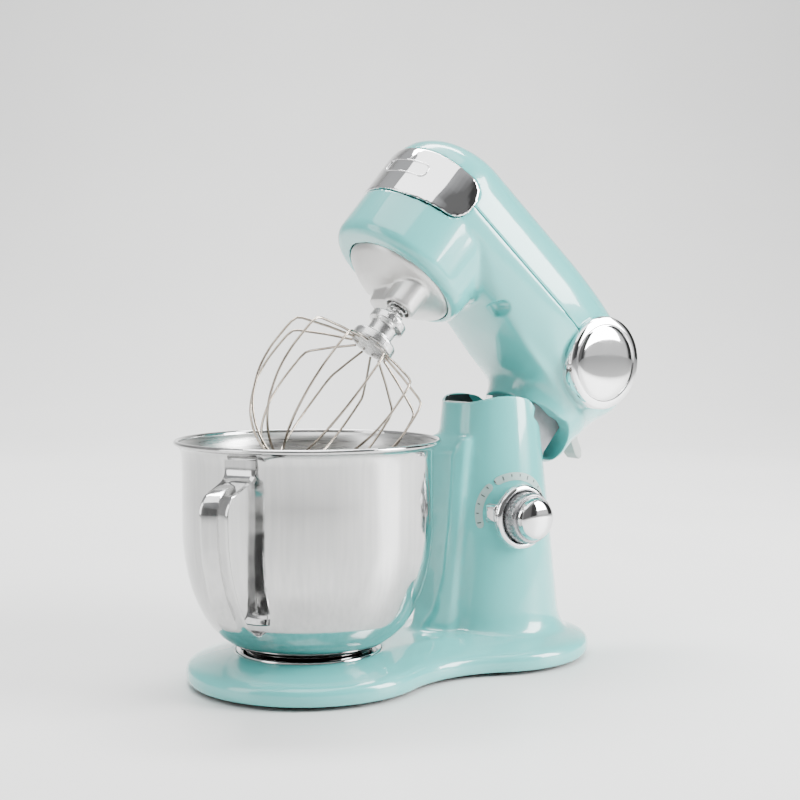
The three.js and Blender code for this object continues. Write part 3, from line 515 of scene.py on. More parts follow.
STEEL = mottled("machined_steel", (0.55, 0.55, 0.55), (0.66, 0.66, 0.65), (0.2, 0.32), 1.0, scale=80)
BRASS = mottled("turned_brass", (0.62, 0.45, 0.17), (0.72, 0.55, 0.24), (0.22, 0.34), 1.0, scale=70)
COPPER = mottled("copper_wire", (0.55, 0.22, 0.09), (0.68, 0.3, 0.13), (0.3, 0.42), 1.0, scale=200,
                 grain=900, grain_strength=0.5)
BOARD = mottled("board_green", (0.02, 0.12, 0.05), (0.03, 0.17, 0.08), (0.35, 0.5), scale=90)
IRON = mottled("stacked_iron", (0.16, 0.165, 0.17), (0.22, 0.225, 0.23), (0.45, 0.6), 0.9, scale=60,
               grain=1100, grain_strength=0.4)
PRINT = mottled("printed_scale", (0.3, 0.43, 0.41), (0.34, 0.47, 0.45), (0.3, 0.4), scale=60)
INK = mottled("ink", (0.05, 0.06, 0.06), (0.08, 0.09, 0.09), (0.4, 0.5), scale=200)

SLOT_MATERIAL = {
    "aqua_paint": PAINT, "chrome": CHROME, "brushed_steel": STEEL, "cast_metal": CAST, "silver_paint": SILVER,
    "black_plastic": BLACK, "grey_plastic": GREY, "rubber": RUBBER, "copper": COPPER, "brass": BRASS,
    "circuit_board": BOARD, "laminated_steel": IRON,
}


def dress_cad_nodes():
    """Gives every CAD node that stays in view its own procedural finish."""
    for part in frame["record"]["subparts"]:
        mesh = frame["nodes"][part["node"]].data
        mesh.materials.clear()
        mesh.materials.append(SLOT_MATERIAL[part["material_slot"]])


# ---- stand ----
def base_outline(inset, z):
    """One level of the base: two round lobes with a waist between them."""
    front, rear, rear_x, waist = BASE["front"], BASE["rear"], BASE["rear_x"], BASE["waist"]
    to_front, to_rear = front + waist, rear + waist
    waist_x = (rear_x**2 + to_front**2 - to_rear**2) / (2 * rear_x)
    waist_y = math.sqrt(to_front**2 - waist_x**2)
    front_deg = math.degrees(math.atan2(waist_y, waist_x))
    rear_deg = math.degrees(math.atan2(waist_y, waist_x - rear_x))
    points = arc(rear_x, 0, rear - inset, -rear_deg, rear_deg, 48)[:-1]
    points += arc(waist_x, waist_y, waist + inset, rear_deg - 180, front_deg - 180, 18)[:-1]
    points += arc(0, 0, front - inset, front_deg, 360 - front_deg, 72)[:-1]
    points += arc(waist_x, -waist_y, waist + inset, 180 - front_deg, 180 - rear_deg, 18)[:-1]
    return [(x, y, z) for x, y in points]


def column_radius(z):
    return COLUMN_RADIUS + (COLUMN_TOP - z) * COLUMN_TAPER


def column_ring(z, grow, steps=120):
    return [(x, y, z) for x, y in arc(COLUMN_X, 0, column_radius(z) + grow, 0, 360, steps)[:-1]]


def ear_side():
    """Side view of what stays of the column."""
    top = HINGE_Z + EAR["radius"]
    corner_x, corner_z, corner = EAR["corner_x"], EAR["corner_z"], EAR["corner"]
    points = [(-FAR, -10), (330, -10), (330, EAR["heel_z"] - 1), (corner_x + corner, EAR["heel_z"] - 1)]
    points += arc(corner_x, corner_z, corner, 0, 84, 20)
    points += arc(HINGE_X, HINGE_Z, EAR["radius"], 85, 113, 20)
    points += [(150.5, top - 6), (120, top - 6), (120, 60), (-FAR, 60)]
    return points


def spine_ring(z, rise):
    front = COLUMN_X - column_radius(z) - rise
    corner = max(rise, 2)
    points = [(COLUMN_X, -SPINE_HALF), (COLUMN_X, SPINE_HALF), (front + corner, SPINE_HALF)]
    points += [(front, SPINE_HALF - corner), (front, corner - SPINE_HALF), (front + corner, -SPINE_HALF)]
    return [(x, y, z) for x, y in points]


def near_base_top(point):
    """1 where the column runs into the base, fading to 0 away from it."""
    if point.z < 24:
        return 0
    return max(0, 1 - ((point.z - 30) / 26) ** 2)


def stand_outside():
    """Base, column and spine in one, blended into each other and trimmed to the ears."""
    drop = [(3, 2.5), (5, 0.9), (7, 0.2), (10, 0), (14, 0.2), (16.5, 1.2), (18.5, 3.6), (20.5, 8.5)]
    drop += [(24, 21), (28, 40)]
    base = loft([base_outline(inset, z) for z, inset in drop])
    flare = [(15, 4), (27, 4), (31, 1.5), (40, 0), (245, 0)]
    column = loft([column_ring(z, grow) for z, grow in flare])
    ridge = [(15, 23), (30, 19), (48, 10.5), (80, 7), (130, 6.5), (170, 7.4), (SPINE_TOP - 10, SPINE_RISE)]
    ridge += [(SPINE_TOP - 3, 6.6), (SPINE_TOP + 2, 4), (SPINE_TOP + 6, 0.6)]
    spine = loft([spine_ring(z, rise) for z, rise in ridge])
    body = join(base, column, spine)
    relax(remesh(body, COARSE_VOXEL), 4)
    relax(body, 24, near_base_top)
    return common(body, plate(ear_side(), -FAR, FAR))


def base_hollow():
    """The space under the base, left open downwards."""
    levels_up = [(2.5 + WALL, -1), (WALL, 14), (12, 19), (40, 23)]
    return loft([base_outline(inset, z) for inset, z in levels_up])


def column_slot():
    """The gap between the ears, which the head's tongue fills."""
    side = [(120, 140), (244, 140), (244, REAR_RIM_Z), (300, REAR_RIM_Z), (300, 280), (120, 280)]
    inside = loft([column_ring(130, -WALL), column_ring(260, -WALL)])
    room = join(inside, block(COLUMN_X, 300, -FAR, FAR, 130, 300))
    return common(plate(side, -SLOT_HALF, SLOT_HALF), room)


def heel_room():
    """What the head's heel sweeps behind the ears."""
    inner = arc(HINGE_X, HINGE_Z, 59.8, 3.5, 62, 20)
    outer = arc(HINGE_X, HINGE_Z, 95, 62, 3.5, 20)
    return plate(inner + outer, -FAR, FAR)


def stand_holes():
    """Round openings for the knob's shaft, the cord gland and the hinge pin."""
    at_knob = Matrix.Translation((KNOB_X, 0, KNOB_Z)) @ ALONG_Y
    at_lobe = Matrix.Translation((BASE["rear_x"], 0, CORD["z"]))
    at_cord = at_lobe @ Matrix.Rotation(radians(CORD["turn"]), 4, "Z") @ Matrix.Rotation(pi / 2, 4, "Y")
    at_hinge = Matrix.Translation((HINGE_X, 0, HINGE_Z)) @ ALONG_Y
    return (
        place(rod(9, 20, 80), at_knob),
        place(rod(5.8, 60, 120), at_cord),
        place(rod(5.3, -44.5, 44.5), at_hinge),
    )


def stand_casting():
    body = stand_outside()
    cut(body, base_hollow())
    join(body, rod(64, 8, 24, 96))
    inside = loft([column_ring(18, -WALL), column_ring(150, -WALL)])
    bowl_seat = join(rod(61.4, 20.7, 40, 96), rod(58.5, -1, 21, 96))
    cut(body, inside, column_slot(), heel_room(), bowl_seat, *stand_holes())
    soften(body, CASTING_VOXEL, 3, CASTING_KEPT)
    settle(body, "stand_casting", "stand", PAINT, ["stand_housing"], STAND_SPACE)
    shade_tower_hollow(body)


def rubber_feet():
    profile = rounded([(0, 0), (10, 0), (10, 3.7), (6, 3.7), (6, 7.5), (0, 7.5)], 0.7)
    for k in range(1, FOOT_COUNT + 1):
        low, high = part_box(f"foot_{k}")
        middle = (low + high) / 2
        foot = turned(profile, 48)
        place(foot, Matrix.Translation((middle.x, middle.y, 0)) @ Matrix.Scale(MM, 4))
        settle(foot, f"rubber_foot_{k}", "stand", RUBBER, [f"foot_{k}"])


def clamp_ring():
    profile = rounded([(53, 21), (61, 21), (61, 28.6), (53, 28.6)], 1.2, closed=True)
    ring = turned(profile, 144, closed=True)
    for middle in LUG_TURNS:
        sector = [(0, 0)] + arc(0, 0, 57.5, middle + 17, middle + 43, 10)
        cut(ring, plate(sector, 15, 35, "xy"))
    settle(ring, "clamp_ring", "stand", CHROME, ["bowl_clamp_ring"], STAND_SPACE, 30)


def knob_bezel():
    profile = [(13, 45), (20, 45), (20.5, 54.5), (28.2, 56), (29, 59), (28, 62), (25.2, 63.4), (23.3, 62.6)]
    profile += [(23.2, 58), (13, 58)]
    bezel = turned(rounded(profile, 0.8, closed=True), 96, closed=True)
    lug_side = rounded([(-29.5, -5), (-19, -7), (-19, 14), (-29.5, 12)], 5, 6, True)
    lug = plate(lug_side, -58, -45)
    place(bezel, ALONG_Y)
    middle = place(rod(18, 30, 80), ALONG_Y)
    cut(lug, middle)
    join(bezel, lug)
    place(bezel, Matrix.Translation((KNOB_X, 0, KNOB_Z)))
    cut(bezel, loft([column_ring(60, GAP), column_ring(200, GAP)]))
    soften(bezel, 0.6, 3, 0.6)
    settle(bezel, "knob_surround", "stand", CHROME, ["knob_bezel"], STAND_SPACE)


def on_column(angle, radius, proud):
    """A point on the column's painted face, at a place round the knob, measured along the face."""
    z = KNOB_Z + radius * sin(angle)
    reach = column_radius(z)
    turn = math.asin((KNOB_X - COLUMN_X) / reach) + radius * cos(angle) / reach
    return COLUMN_X + (reach + proud) * sin(turn), -(reach + proud) * cos(turn), z


def scale_patch(name, start, end, inner, outer, proud, material):
    """A thin print on the column, between two angles and two radii. A long one has round ends."""
    steps = max(8, round(abs(end - start) / 2))
    rows = 9
    half = (outer - inner) / 2
    tip = math.degrees(half / (inner + half)) if end - start > 20 else 0
    points = []
    for height in (proud, proud - 0.5):
        for row in range(rows):
            across = row / (rows - 1) * 2 - 1
            radius = inner + half + half * across
            first = start + tip * (1 - math.sqrt(1 - across**2))
            last = end - tip * (1 - math.sqrt(1 - across**2))
            angles = [radians(first + (last - first) * k / steps) for k in range(steps + 1)]
            points += [on_column(angle, radius, height) for angle in angles]
    width = steps + 1
    layer = rows * width
    faces = []
    for row in range(rows - 1):
        for k in range(steps):
            a = row * width + k
            face = (a, a + 1, a + 1 + width, a + width)
            faces += [face, tuple(i + layer for i in face[::-1])]
    border = list(range(width)) + [r * width + steps for r in range(1, rows)]
    border += [(rows - 1) * width + k for k in range(steps - 1, -1, -1)]
    border += [r * width for r in range(rows - 2, 0, -1)]
    for k, a in enumerate(border):
        b = border[(k + 1) % len(border)]
        faces.append((a, b, b + layer, a + layer))
    settle(build(name, points, faces), name, "stand", material, (), STAND_SPACE, 60)


def knob_scale():
    inner, outer, proud = 31.5, 38.5, 0.35
    scale_patch("scale_band_low", 128, 197, inner, outer, proud, PRINT)
    scale_patch("scale_band_high", 20, 123, inner, outer, proud, PRINT)
    marks, first, last, half = 13, 28, 189, 0.8
    mark_end = 37
    for k in range(marks):
        middle = first + (last - first) * k / (marks - 1)
        length = 3.6 if k % 3 == 0 else 2.2
        name = f"scale_mark_{k:02d}"
        scale_patch(name, middle - half, middle + half, mark_end - length, mark_end, 0.6, INK)


def shade_tower_hollow(body):
    """Painted shade: near-black on the walls inside the column's open top, from 0.2 m up, standing in for the
    shade in the hollow.
    """
    body.data.materials.append(HOLLOW_SHADE)
    axis = Vector((BOWL_X + COLUMN_X * MM, 0))
    for face in body.data.polygons:
        reach = (column_radius(face.center.z / MM) - WALL / 2) * MM
        inside = (face.center.xy - axis).length < reach and face.center.x < axis.x
        if inside and face.center.z > 0.2 and face.normal.z < 0.5:
            face.material_index = 1


def latch_cover():
    """The latch plate in the column's front, with its top lip and hook slot."""
    corners = [(151, 230.5), (153.3, 230.5), (158.6, 214), (158.6, 190), (156.1, 190), (156.1, 214)]
    cover = plate(rounded(corners, 1, closed=True), -24, 24)
    join(cover, block(148, 162, -26, 26, 229, 230.4))
    common(cover, loft([column_ring(150, -WALL - GAP), column_ring(260, -WALL - GAP)]))
    cut(cover, block(140, 170, -5, 5, 197, 224), block(154, 159, -20, -12, 225, 240))
    soften(cover, 0.5, 2, 0.5)
    settle(cover, "latch_cover", "stand", GREY, ["latch_plate"], STAND_SPACE)


# ---- bowl ----
BOWL_WALL = [
    (0, 28), (40, 28), (49, 28.8), (58, 31.8), (66, 36), (75, 42.5), (82, 50), (88, 59), (93, 69), (97.6, 81),
    (101, 94), (103.6, 109), (105, 125), (105, 158), (105, 190), (106.2, 196), (108.5, 200.6),
]


def bowl():
    inner = []
    for k, (r, z) in enumerate(BOWL_WALL):
        rise = 1.4 if k < 4 else 1.0 if k < 10 else 0.3
        inner.append((max(r - 1.4, 0), z + rise))
    rim = arc(109.7, 202.4, 2.1, -60, 200, 14)
    shell = turned(BOWL_WALL + rim + inner[::-1], 192)
    settle(shell, "mixing_bowl", "bowl", BOWL_OUT, ["bowl_shell"], STAND_SPACE, 70)
    shell.data.materials.append(BOWL_IN)
    axis = Vector((BOWL_X, 0))
    for face in shell.data.polygons:
        outward = Vector(face.center[:2]) - axis
        inside = face.normal.xy.dot(outward) < 0 or (outward.length < 0.05 and face.normal.z > 0)
        if inside and face.center.z < 0.2015:
            face.material_index = 1


def bowl_foot():
    profile = rounded([(43, 13.5), (51.5, 13.5), (51.5, 27.7), (43, 27.7)], 1, closed=True)
    ring = turned(profile, 144, closed=True)
    for middle in LUG_TURNS:
        sector = arc(0, 0, 56.3, middle - 10, middle + 10, 8) + arc(0, 0, 48, middle + 10, middle - 10, 8)
        join(ring, plate(sector, 15.5, 20.2, "xy"))
    settle(ring, "bowl_base_ring", "bowl", BOWL_OUT, ["bowl_foot"], STAND_SPACE, 30)


HANDLE_PATH = [
    (106.9, 195.5), (106.9, 184), (112, 179), (138, 170), (143.5, 162), (144, 152), (142.5, 130),
    (139, 112), (131, 90), (119, 70), (109, 61), (101, 58), (92.5, 60),
]


def bowl_handle():
    """A pressed strap whose long run is folded to a shallow V."""
    path = smooth_path(rounded(HANDLE_PATH, 4, 3), 3)
    half = 14
    rows = 16
    sections = []
    for k, here in enumerate(path):
        along = (path[min(k + 1, len(path) - 1)] - path[max(k - 1, 0)]).normalized()
        normal = Vector((-along.y, along.x))
        share = k / (len(path) - 1)
        fold = 4.6 * max(0, min(1, (share - 0.16) / 0.14)) * max(0, min(1, (0.93 - share) / 0.12))
        waist = half - 1.5 * sin(pi * share)
        upper, lower = [], []
        for row in range(rows + 1):
            side = row / rows * 2 - 1
            edge = 1 - max(0, abs(side) - 0.86) / 0.14 * 0.8
            lift = -fold * (1 - abs(side)) ** 1.15
            for line, thickness in ((upper, 0.9 * edge), (lower, -0.9 * edge)):
                spot = here + normal * (lift + thickness)
                line.append((spot.x, side * waist, spot.y))
        sections.append(upper + lower[::-1])
    handle = loft(sections)
    place(handle, Matrix.Rotation(HANDLE_ANGLE, 4, "Z"))
    inner = [(0, 20), (66.8, 35), (83, 49), (94, 68), (102, 93), (106.1, 125), (106.1, 210), (0, 210)]
    cut(handle, turned(inner, 192))
    settle(handle, "strap_handle", "bowl", BOWL_OUT, ["bowl_handle"], STAND_SPACE, 35)


# ---- knob ----
def knob():
    at = Matrix.Translation((KNOB_X, 0, KNOB_Z)) @ ALONG_Y
    profile = rounded([(0, 41.3), (8, 41.3), (8, 58.6), (22.4, 58.6), (22.4, 72), (21, 75), (0, 75)], 0.7)
    body = turned(profile, 192)
    grooves = 36
    at_edge = Matrix.Translation((22.7, 0, 0))
    for k in range(grooves):
        turn = Matrix.Rotation(2 * pi * k / grooves, 4, "Z")
        cut(body, place(rod(0.9, 66, 80, 10), turn @ at_edge))
    place(body, at)
    settle(body, "speed_dial", "knob", DIAL_GREY, ["speed_knob"], STAND_SPACE, 30)
    dome = [(0, 75.3), (18.4, 75.3), (18.9, 76), (18.7, 78), (17.4, 80.3)]
    dome += [(17.4 * cos(radians(a)), 80.3 + 4.6 * sin(radians(a))) for a in range(10, 90, 10)] + [(0, 84.9)]
    cap = place(turned(dome, 96), at)
    settle(cap, "dial_cap", "knob", CHROME, ["knob_cap"], STAND_SPACE, 50)
    on_rim = Matrix.Translation((22.45, 0, 62.3)) @ Matrix.Rotation(pi / 2, 4, "Y")
    on_rim = on_rim @ Matrix.Rotation(pi, 4, "Z") @ Matrix.Rotation(pi / 2, 4, "Z")
    for k in range(12):
        turn = Matrix.Rotation(radians(200 - k * 28), 4, "Z")
        numeral = text_mesh(str(k + 1), 4.6)
        place(numeral, at @ turn @ on_rim)
        settle(numeral, f"dial_number_{k + 1:02d}", "knob", INK, (), STAND_SPACE, 30)


# ---- head ----
def head_ring(z, inset, front_x, lift=0):
    """One level of the head: round in front, and a squarer oval behind."""
    half = between(HALF_WIDTH, z) - inset
    rear_start = max(between(REAR_START, z), front_x + inset + half)
    reach = between(REAR_END, z) - inset - rear_start
    power = 2 / (2 if z <= 250 else 1.8 if z >= 290 else 2 - 0.2 * (z - 250) / 40)
    outline = []
    for x, y in arc(0, 0, 1, -90, 90, 56):
        across = half * math.copysign(abs(y) ** power, y)
        outline.append((rear_start + reach * max(x, 0) ** power, across))
    outline += arc(front_x + inset + half, 0, half, 90, 270, 48)
    return [(x, y, z + lift) for x, y in outline]


def stadium(front_x, rear_x, front_half, rear_half, z):
    """A level with straight sides and round ends."""
    points = arc(rear_x - rear_half, 0, rear_half, -90, 90, 48)
    points += arc(front_x + front_half, 0, front_half, 90, 270, 48)
    return [(x, y, z) for x, y in points]


def upper_head(inset):
    top = 364 if inset <= 0 else 361.5
    heights = levels(290, 348, 4) + levels(350, 360, 2) + [361.5, 362.8, 363.5, 364]
    heights = [z for z in heights if z <= top]
    rise = [(0, 0), (340, 0), (356, 1), (400, 1)]
    return loft([head_ring(z, inset, between(NOSE_FRONT, z), -inset * between(rise, z)) for z in heights])


def nose_part(inset):
    half = between(HALF_WIDTH, 290)
    heights = [234, 234.7, 235.5, 236.4, 237.6, 239, 241, 243, 260, 290.5]
    rings = []
    for z in heights:
        lip = between(NOSE_LIP, z) + inset
        rings.append(stadium(-70 + lip, 60 - lip, half - lip, half - lip - 1, z))
    return loft(rings)


def neck_part(inset):
    heights = levels(204, 248, 3) + levels(250, 254, 2) + levels(255.5, 260, 1.5)
    heights += [262, 264, 266, 269, 273, 278, 284, 290]
    return loft([head_ring(z, inset, between(NECK_FRONT, z), inset if z < 290 else 0) for z in heights])


def shell_side(inset):
    """Side view of what stays of the head, with room for the column's ears."""
    pocket = EAR["radius"] + 1.3 + inset
    rear = EAR["corner_x"] + EAR["corner"] + 1 + inset
    corner = EAR["corner"] + 1 + inset
    points = [(-90, NOSE_BOTTOM + inset), (127.5, NOSE_BOTTOM + inset), (153, 231.5 + inset)]
    points += arc(HINGE_X, HINGE_Z, pocket, 113, 86, 16)
    points += arc(EAR["corner_x"], EAR["corner_z"] + 4, corner, 84, 0, 24)
    points += [(rear, EAR["heel_z"] + inset), (300, EAR["heel_z"] + inset), (300, 400), (-90, 400)]
    return points


def tongue_side(grow):
    """Side view of the frame's tongue, which fills the gap between the ears."""
    points = [(168 - grow, 250), (159 - grow, 200)]
    points += arc(HINGE_X, HINGE_Z, 25 + grow, 165, 262, 16)
    points += arc(HINGE_X, HINGE_Z, DRUM_RADIUS + grow, -14, 51, 16)
    return points + [(TONGUE_REAR + grow, EAR["heel_z"] - 2), (TONGUE_REAR + grow, 250)]


def band_region(grow):
    radius = BAND["corner"] + grow
    inside = BAND["end_x"] - BAND["corner"]
    points = [(-90, BAND["bottom"] - 4 - grow), (-60, BAND["bottom"] - 4 - grow)]
    points += arc(inside, BAND["bottom"] + BAND["corner"], radius, -90, 0, 16)
    points += arc(inside, BAND["top"] - BAND["corner"], radius, 0, 90, 16)
    points += [(-60, BAND["top"] + 3 + grow), (-90, BAND["top"] + 3 + grow)]
    return plate(points, -FAR, FAR)


def on_flank(obj, sign):
    """Turns a piece drawn on +Z out to one of the head's rear flanks."""
    turn = pi - radians(CAP["turn"]) if sign > 0 else radians(CAP["turn"])
    matrix = Matrix.Translation((CAP["x"], sign * CAP["y"], CAP["z"]))
    return place(obj, matrix @ Matrix.Rotation(turn, 4, "Z") @ ALONG_Y)


def under_nose(point):
    """1 where the nose runs into the neck, fading to 0 away from it."""
    away = math.hypot(point.x - 64, point.z - 262) / 42
    return max(0, 1 - away**2) if point.z < 300 else 0


def head_outside():
    """Neck, upper head and nose in one, blended into each other and trimmed to the column."""
    outer = join(neck_part(0), upper_head(0), nose_part(0))
    relax(remesh(outer, COARSE_VOXEL), 3)
    relax(outer, 60, under_nose)
    return common(outer, plate(shell_side(0), -FAR, FAR))


def head_inside(at_hole):
    """The room inside the shells. Solid metal is left standing behind the recess."""
    inner = join(neck_part(WALL), upper_head(WALL), nose_part(WALL))
    common(inner, plate(shell_side(WALL), -FAR, FAR))
    return cut(inner, place(rod(SIDE_HOLE["radius"], SIDE_HOLE["floor"], FAR), at_hole))


def head_shells():
    """Lower casting and top cover, drawn as one shell and parted at the seam."""
    at_hole = Matrix.Translation((SIDE_HOLE["x"], 0, SIDE_HOLE["z"])) @ ALONG_Y
    outer = head_outside()
    cut(outer, head_inside(at_hole), rod(DISH_RADIUS + 0.6, 200, 256, 128))
    cut(outer, plate(tongue_side(0.5), -TONGUE_ROOM, TONGUE_ROOM))
    cone = turned([(0, 36), (6, 36), (7, 40), (8.2, 47), (9, 62), (0, 62)], 64)
    cut(outer, place(cone, at_hole), block(236, 280, -9, 9, 238, 272), band_region(0.5))
    for sign in (-1, 1):
        seat = on_flank(rod(CAP["radius"] + 0.4, -30, 60, 128), sign)
        keep = join(neck_part(1.0), upper_head(1.0))
        cut(outer, cut(seat, keep))
    upper = outer.copy()
    upper.data = outer.data.copy()
    bpy.context.scene.collection.objects.link(upper)
    cut(outer, block(-FAR, FAR, -FAR, FAR, SEAM_Z - GAP, 500))
    cut(upper, block(-FAR, FAR, -FAR, FAR, 0, SEAM_Z + GAP))
    soften(outer, CASTING_VOXEL, 3, CASTING_KEPT)
    soften(upper, CASTING_VOXEL, 3, CASTING_KEPT)
    settle(outer, "head_casting", "head", PAINT, ["head_lower_housing"], HEAD_SPACE)
    settle(upper, "head_cover", "head", PAINT, ["head_top_cover"], HEAD_SPACE)


def chrome_band():
    """The band round the nose, let into the shells and standing a little proud at its ends."""
    skin = join(upper_head(-1.1), nose_part(-1.1))
    cut(skin, join(upper_head(2.2), nose_part(2.2)))
    common(skin, band_region(0))
    soften(skin, 0.9, 5, 0.5)
    for vertex in skin.data.vertices:
        reach = max(0, min(1, (vertex.co.x + 60) / 22))
        vertex.co.y *= 1 + 0.022 * (reach * reach * (3 - 2 * reach))
    settle(skin, "chrome_band", "head", CHROME, ["nose_band"], HEAD_SPACE)


def band_panel():
    """A raised outline, left blank, on the front of the chrome band."""
    corners = [(-4, 299.5), (38, 299.5), (38, 312.5), (-4, 312.5)]
    outline = rounded(corners, 5, 8, True)
    path = []
    for angle, z in smooth_path(outline + outline[:1], 2)[:-1]:
        half = between(HALF_WIDTH, z) + 1.3
        centre = -70 + between(HALF_WIDTH, z)
        path.append(Vector((centre - half * cos(radians(angle)), -half * sin(radians(angle)), z)))
    settle(ring_tube(path, 0.75, 10), "band_panel", "head", CHROME, (), HEAD_SPACE, 80)


def side_caps():
    radius = CAP["radius"]
    face = [(radius, -30), (radius, 0.2), (radius - 1.2, 2.2), (radius - 4, 3.1), (radius - 7.2, 3.2)]
    face += [(radius - 8, 2.5), (radius - 8.8, 2.7)]
    face += [((radius - 9) * cos(radians(a)), 2.7 + 2.4 * sin(radians(a))) for a in range(8, 90, 8)]
    for sign, name in ((-1, "left"), (1, "right")):
        cap = on_flank(turned([(0, -30)] + face + [(0, 5.1)], 128), sign)
        cut(cap, join(neck_part(2.6), upper_head(2.6)))
        settle(cap, f"{name}_side_cap", "head", CHROME, [f"side_cap_{name}"], HEAD_SPACE, 35)


def lever():
    pivot = [(-18, -3), (-4, -4), (4, -5), (10, -14), (20, -19), (27, -20), (29, -16), (25, -11), (14, -6)]
    pivot += arc(0, 0, 6, 20, 150, 6) + [(-18, 2)]
    body = plate(rounded(pivot, 1.5, 3, True), -8, 8)
    cut(body, place(rod(2.3, -20, 20), ALONG_Y))
    soften(body, 0.6, 4, 0.6)
    place(body, Matrix.Translation((LEVER_PIVOT["x"], 0, LEVER_PIVOT["z"])))
    settle(body, "head_release", "lever", GREY, ["release_lever"], HEAD_SPACE)


# ---- planetary drive and whisk ----
def dish():
    profile = [(0, 213), (9, 213), (14, 213.2), (22, 215.5), (30, 219), (37, 223.4), (42, 227), (46.5, 230.4)]
    profile += [(49, 233), (DISH_RADIUS, 235), (DISH_RADIUS, 240.5), (0, 240.5)]
    body = turned(profile, 128)
    heights = [(203.2, 11.2), (204, 12.2), (206, 12.8), (214, 14.2), (222, 15.8), (232, 18)]
    tail = loft([stadium(4 - half, 30, half, half, z) for z, half in heights])
    place(tail, Matrix.Rotation(-pi / 2, 4, "Z"))
    boss = turned(rounded([(0, 203), (14, 203), (15.2, 236), (0, 236)], 1.6), 96)
    join(body, tail, place(boss, Matrix.Translation((0, -AXLE_X, 0))))
    relax(remesh(body, 1.0), 8)
    bore = join(rod(7.4, 190, 260), rod(11, 190, 212))
    at_axle = Matrix.Translation((0, -AXLE_X, 0))
    cut(body, place(bore, at_axle), place(rod(11.3, 225, 260), at_axle), rod(6.3, 216, 260))
    soften(body, 0.8, 2, 0.4)
    settle(body, "planet_dish", "planetary", SILVER, ["planetary_dish"], HEAD_SPACE)


def axle_coil():
    turns, steps, radius, wire, sides = 3.8, 150, 8, 0.8, 10
    up = Vector((0, 0, 1))
    rings = []
    for k in range(steps + 1):
        angle = 2 * pi * turns * k / steps
        z = 192.6 + 4.2 * turns * k / steps
        middle = Vector((radius * cos(angle), radius * sin(angle), z))
        out = Vector((cos(angle), sin(angle), 0))
        round_wire = [2 * pi * j / sides for j in range(sides)]
        rings.append([middle + (out * cos(a) + up * sin(a)) * wire for a in round_wire])
    coil = place(loft(rings), Matrix.Translation((0, -AXLE_X, 0)))
    settle(coil, "return_coil", "beater", STEEL, ["axle_spring"], HEAD_SPACE, 60)


def hub():
    profile = [
        (0, 168), (5, 168), (5, 191), (15.4, 191), (16.2, 190.2), (16.2, 184), (12, 182), (11.5, 172),
        (17.5, 170), (19.6, 168.5), (19.6, 161.5), (18.6, HUB_BOTTOM), (0, HUB_BOTTOM),
    ]
    body = turned(rounded(profile, 0.8, 3), 96)
    slot = place(block(-20, 20, -3.2, 3.2, 185.6, 195), Matrix.Rotation(pi / 2 + PIN_TURN, 4, "Z"))
    cut(body, slot)
    soften(body, 0.45, 2, 0.4)
    place(body, Matrix.Translation((0, -AXLE_X, 0)))
    settle(body, "whisk_ferrule", "beater", STEEL, ["whisk_hub"], HEAD_SPACE)


def whisk():
    """Six equal loops of wire, joined where they cross at the foot."""
    half = [
        (16.5, HUB_BOTTOM - 1.5), (38, 151.5), (60, 142.4), (64, 139.4), (65.6, 134), (66.6, 118),
        (66.4, 103), (63, 84), (54, 64), (43, 51), (30, 42), (15, 36.4),
    ]
    straight = half[:3]
    bow = smooth_path(half[2:] + [(0, 34.5)] + [(-r, z) for r, z in half[:1:-1]], 4)
    path = [Vector(p) for p in straight[:-1]] + bow + [Vector((-r, z)) for r, z in straight[1::-1]]
    sides = 12
    rings = []
    for k, here in enumerate(path):
        along = (path[min(k + 1, len(path) - 1)] - path[max(k - 1, 0)]).normalized()
        normal = Vector((along.y, -along.x))
        ring = []
        for j in range(sides):
            a = 2 * pi * j / sides
            spot = here + normal * cos(a) * WIRE_RADIUS
            ring.append((spot.x, sin(a) * WIRE_RADIUS, spot.y))
        rings.append(ring)
    wires = None
    at_axle = Matrix.Translation((0, -AXLE_X, 0))
    for k in range(LOOPS):
        wire = place(loft(rings), at_axle @ Matrix.Rotation((k + 0.5) * pi / LOOPS, 4, "Z"))
        wires = wire if wires is None else join(wires, wire)
    settle(wires, "whisk_loops", "beater", WIRE, ["whisk_wires"], HEAD_SPACE, 60)


# ---- studio ----
def floor():
    """A flat floor that sweeps up into the backdrop, square to the camera."""
    rise, depth, width = 3.0, 2.2, 6.0
    profile = [(-4.0, 0.0), (depth, 0.0)]
    profile += [(depth + rise * sin(radians(a)), rise * (1 - cos(radians(a)))) for a in range(6, 91, 6)]
    profile.append((depth + rise, 6.0))
    heading = Matrix.Rotation(radians(-33.9), 4, "Z")  # the camera's, in plan
    points = [heading @ Vector((side * width, y, z)) for y, z in profile for side in (-1, 1)]
    faces = [(2 * k, 2 * k + 1, 2 * k + 3, 2 * k + 2) for k in range(len(profile) - 1)]
    mesh = bpy.data.meshes.new("floor")
    mesh.from_pydata([tuple(p) for p in points], [], faces)
    for face in mesh.polygons:
        face.use_smooth = True
    sweep = bpy.data.objects.new("floor", mesh)
    bpy.context.scene.collection.objects.link(sweep)
    pale = mottled("pale_floor", (0.78, 0.78, 0.77), (0.81, 0.81, 0.8), (0.35, 0.5), scale=1.5)
    mesh.materials.append(pale)


def area_light(name, place_at, aim, size, power):
    data = bpy.data.lights.new(name, "AREA")
    data.shape = "RECTANGLE"
    data.size, data.size_y = size
    data.energy = power
    light = bpy.data.objects.new(name, data)
    light.location = place_at
    light.rotation_euler = (Vector(aim) - Vector(place_at)).to_track_quat("-Z", "Y").to_euler()
    bpy.context.scene.collection.objects.link(light)


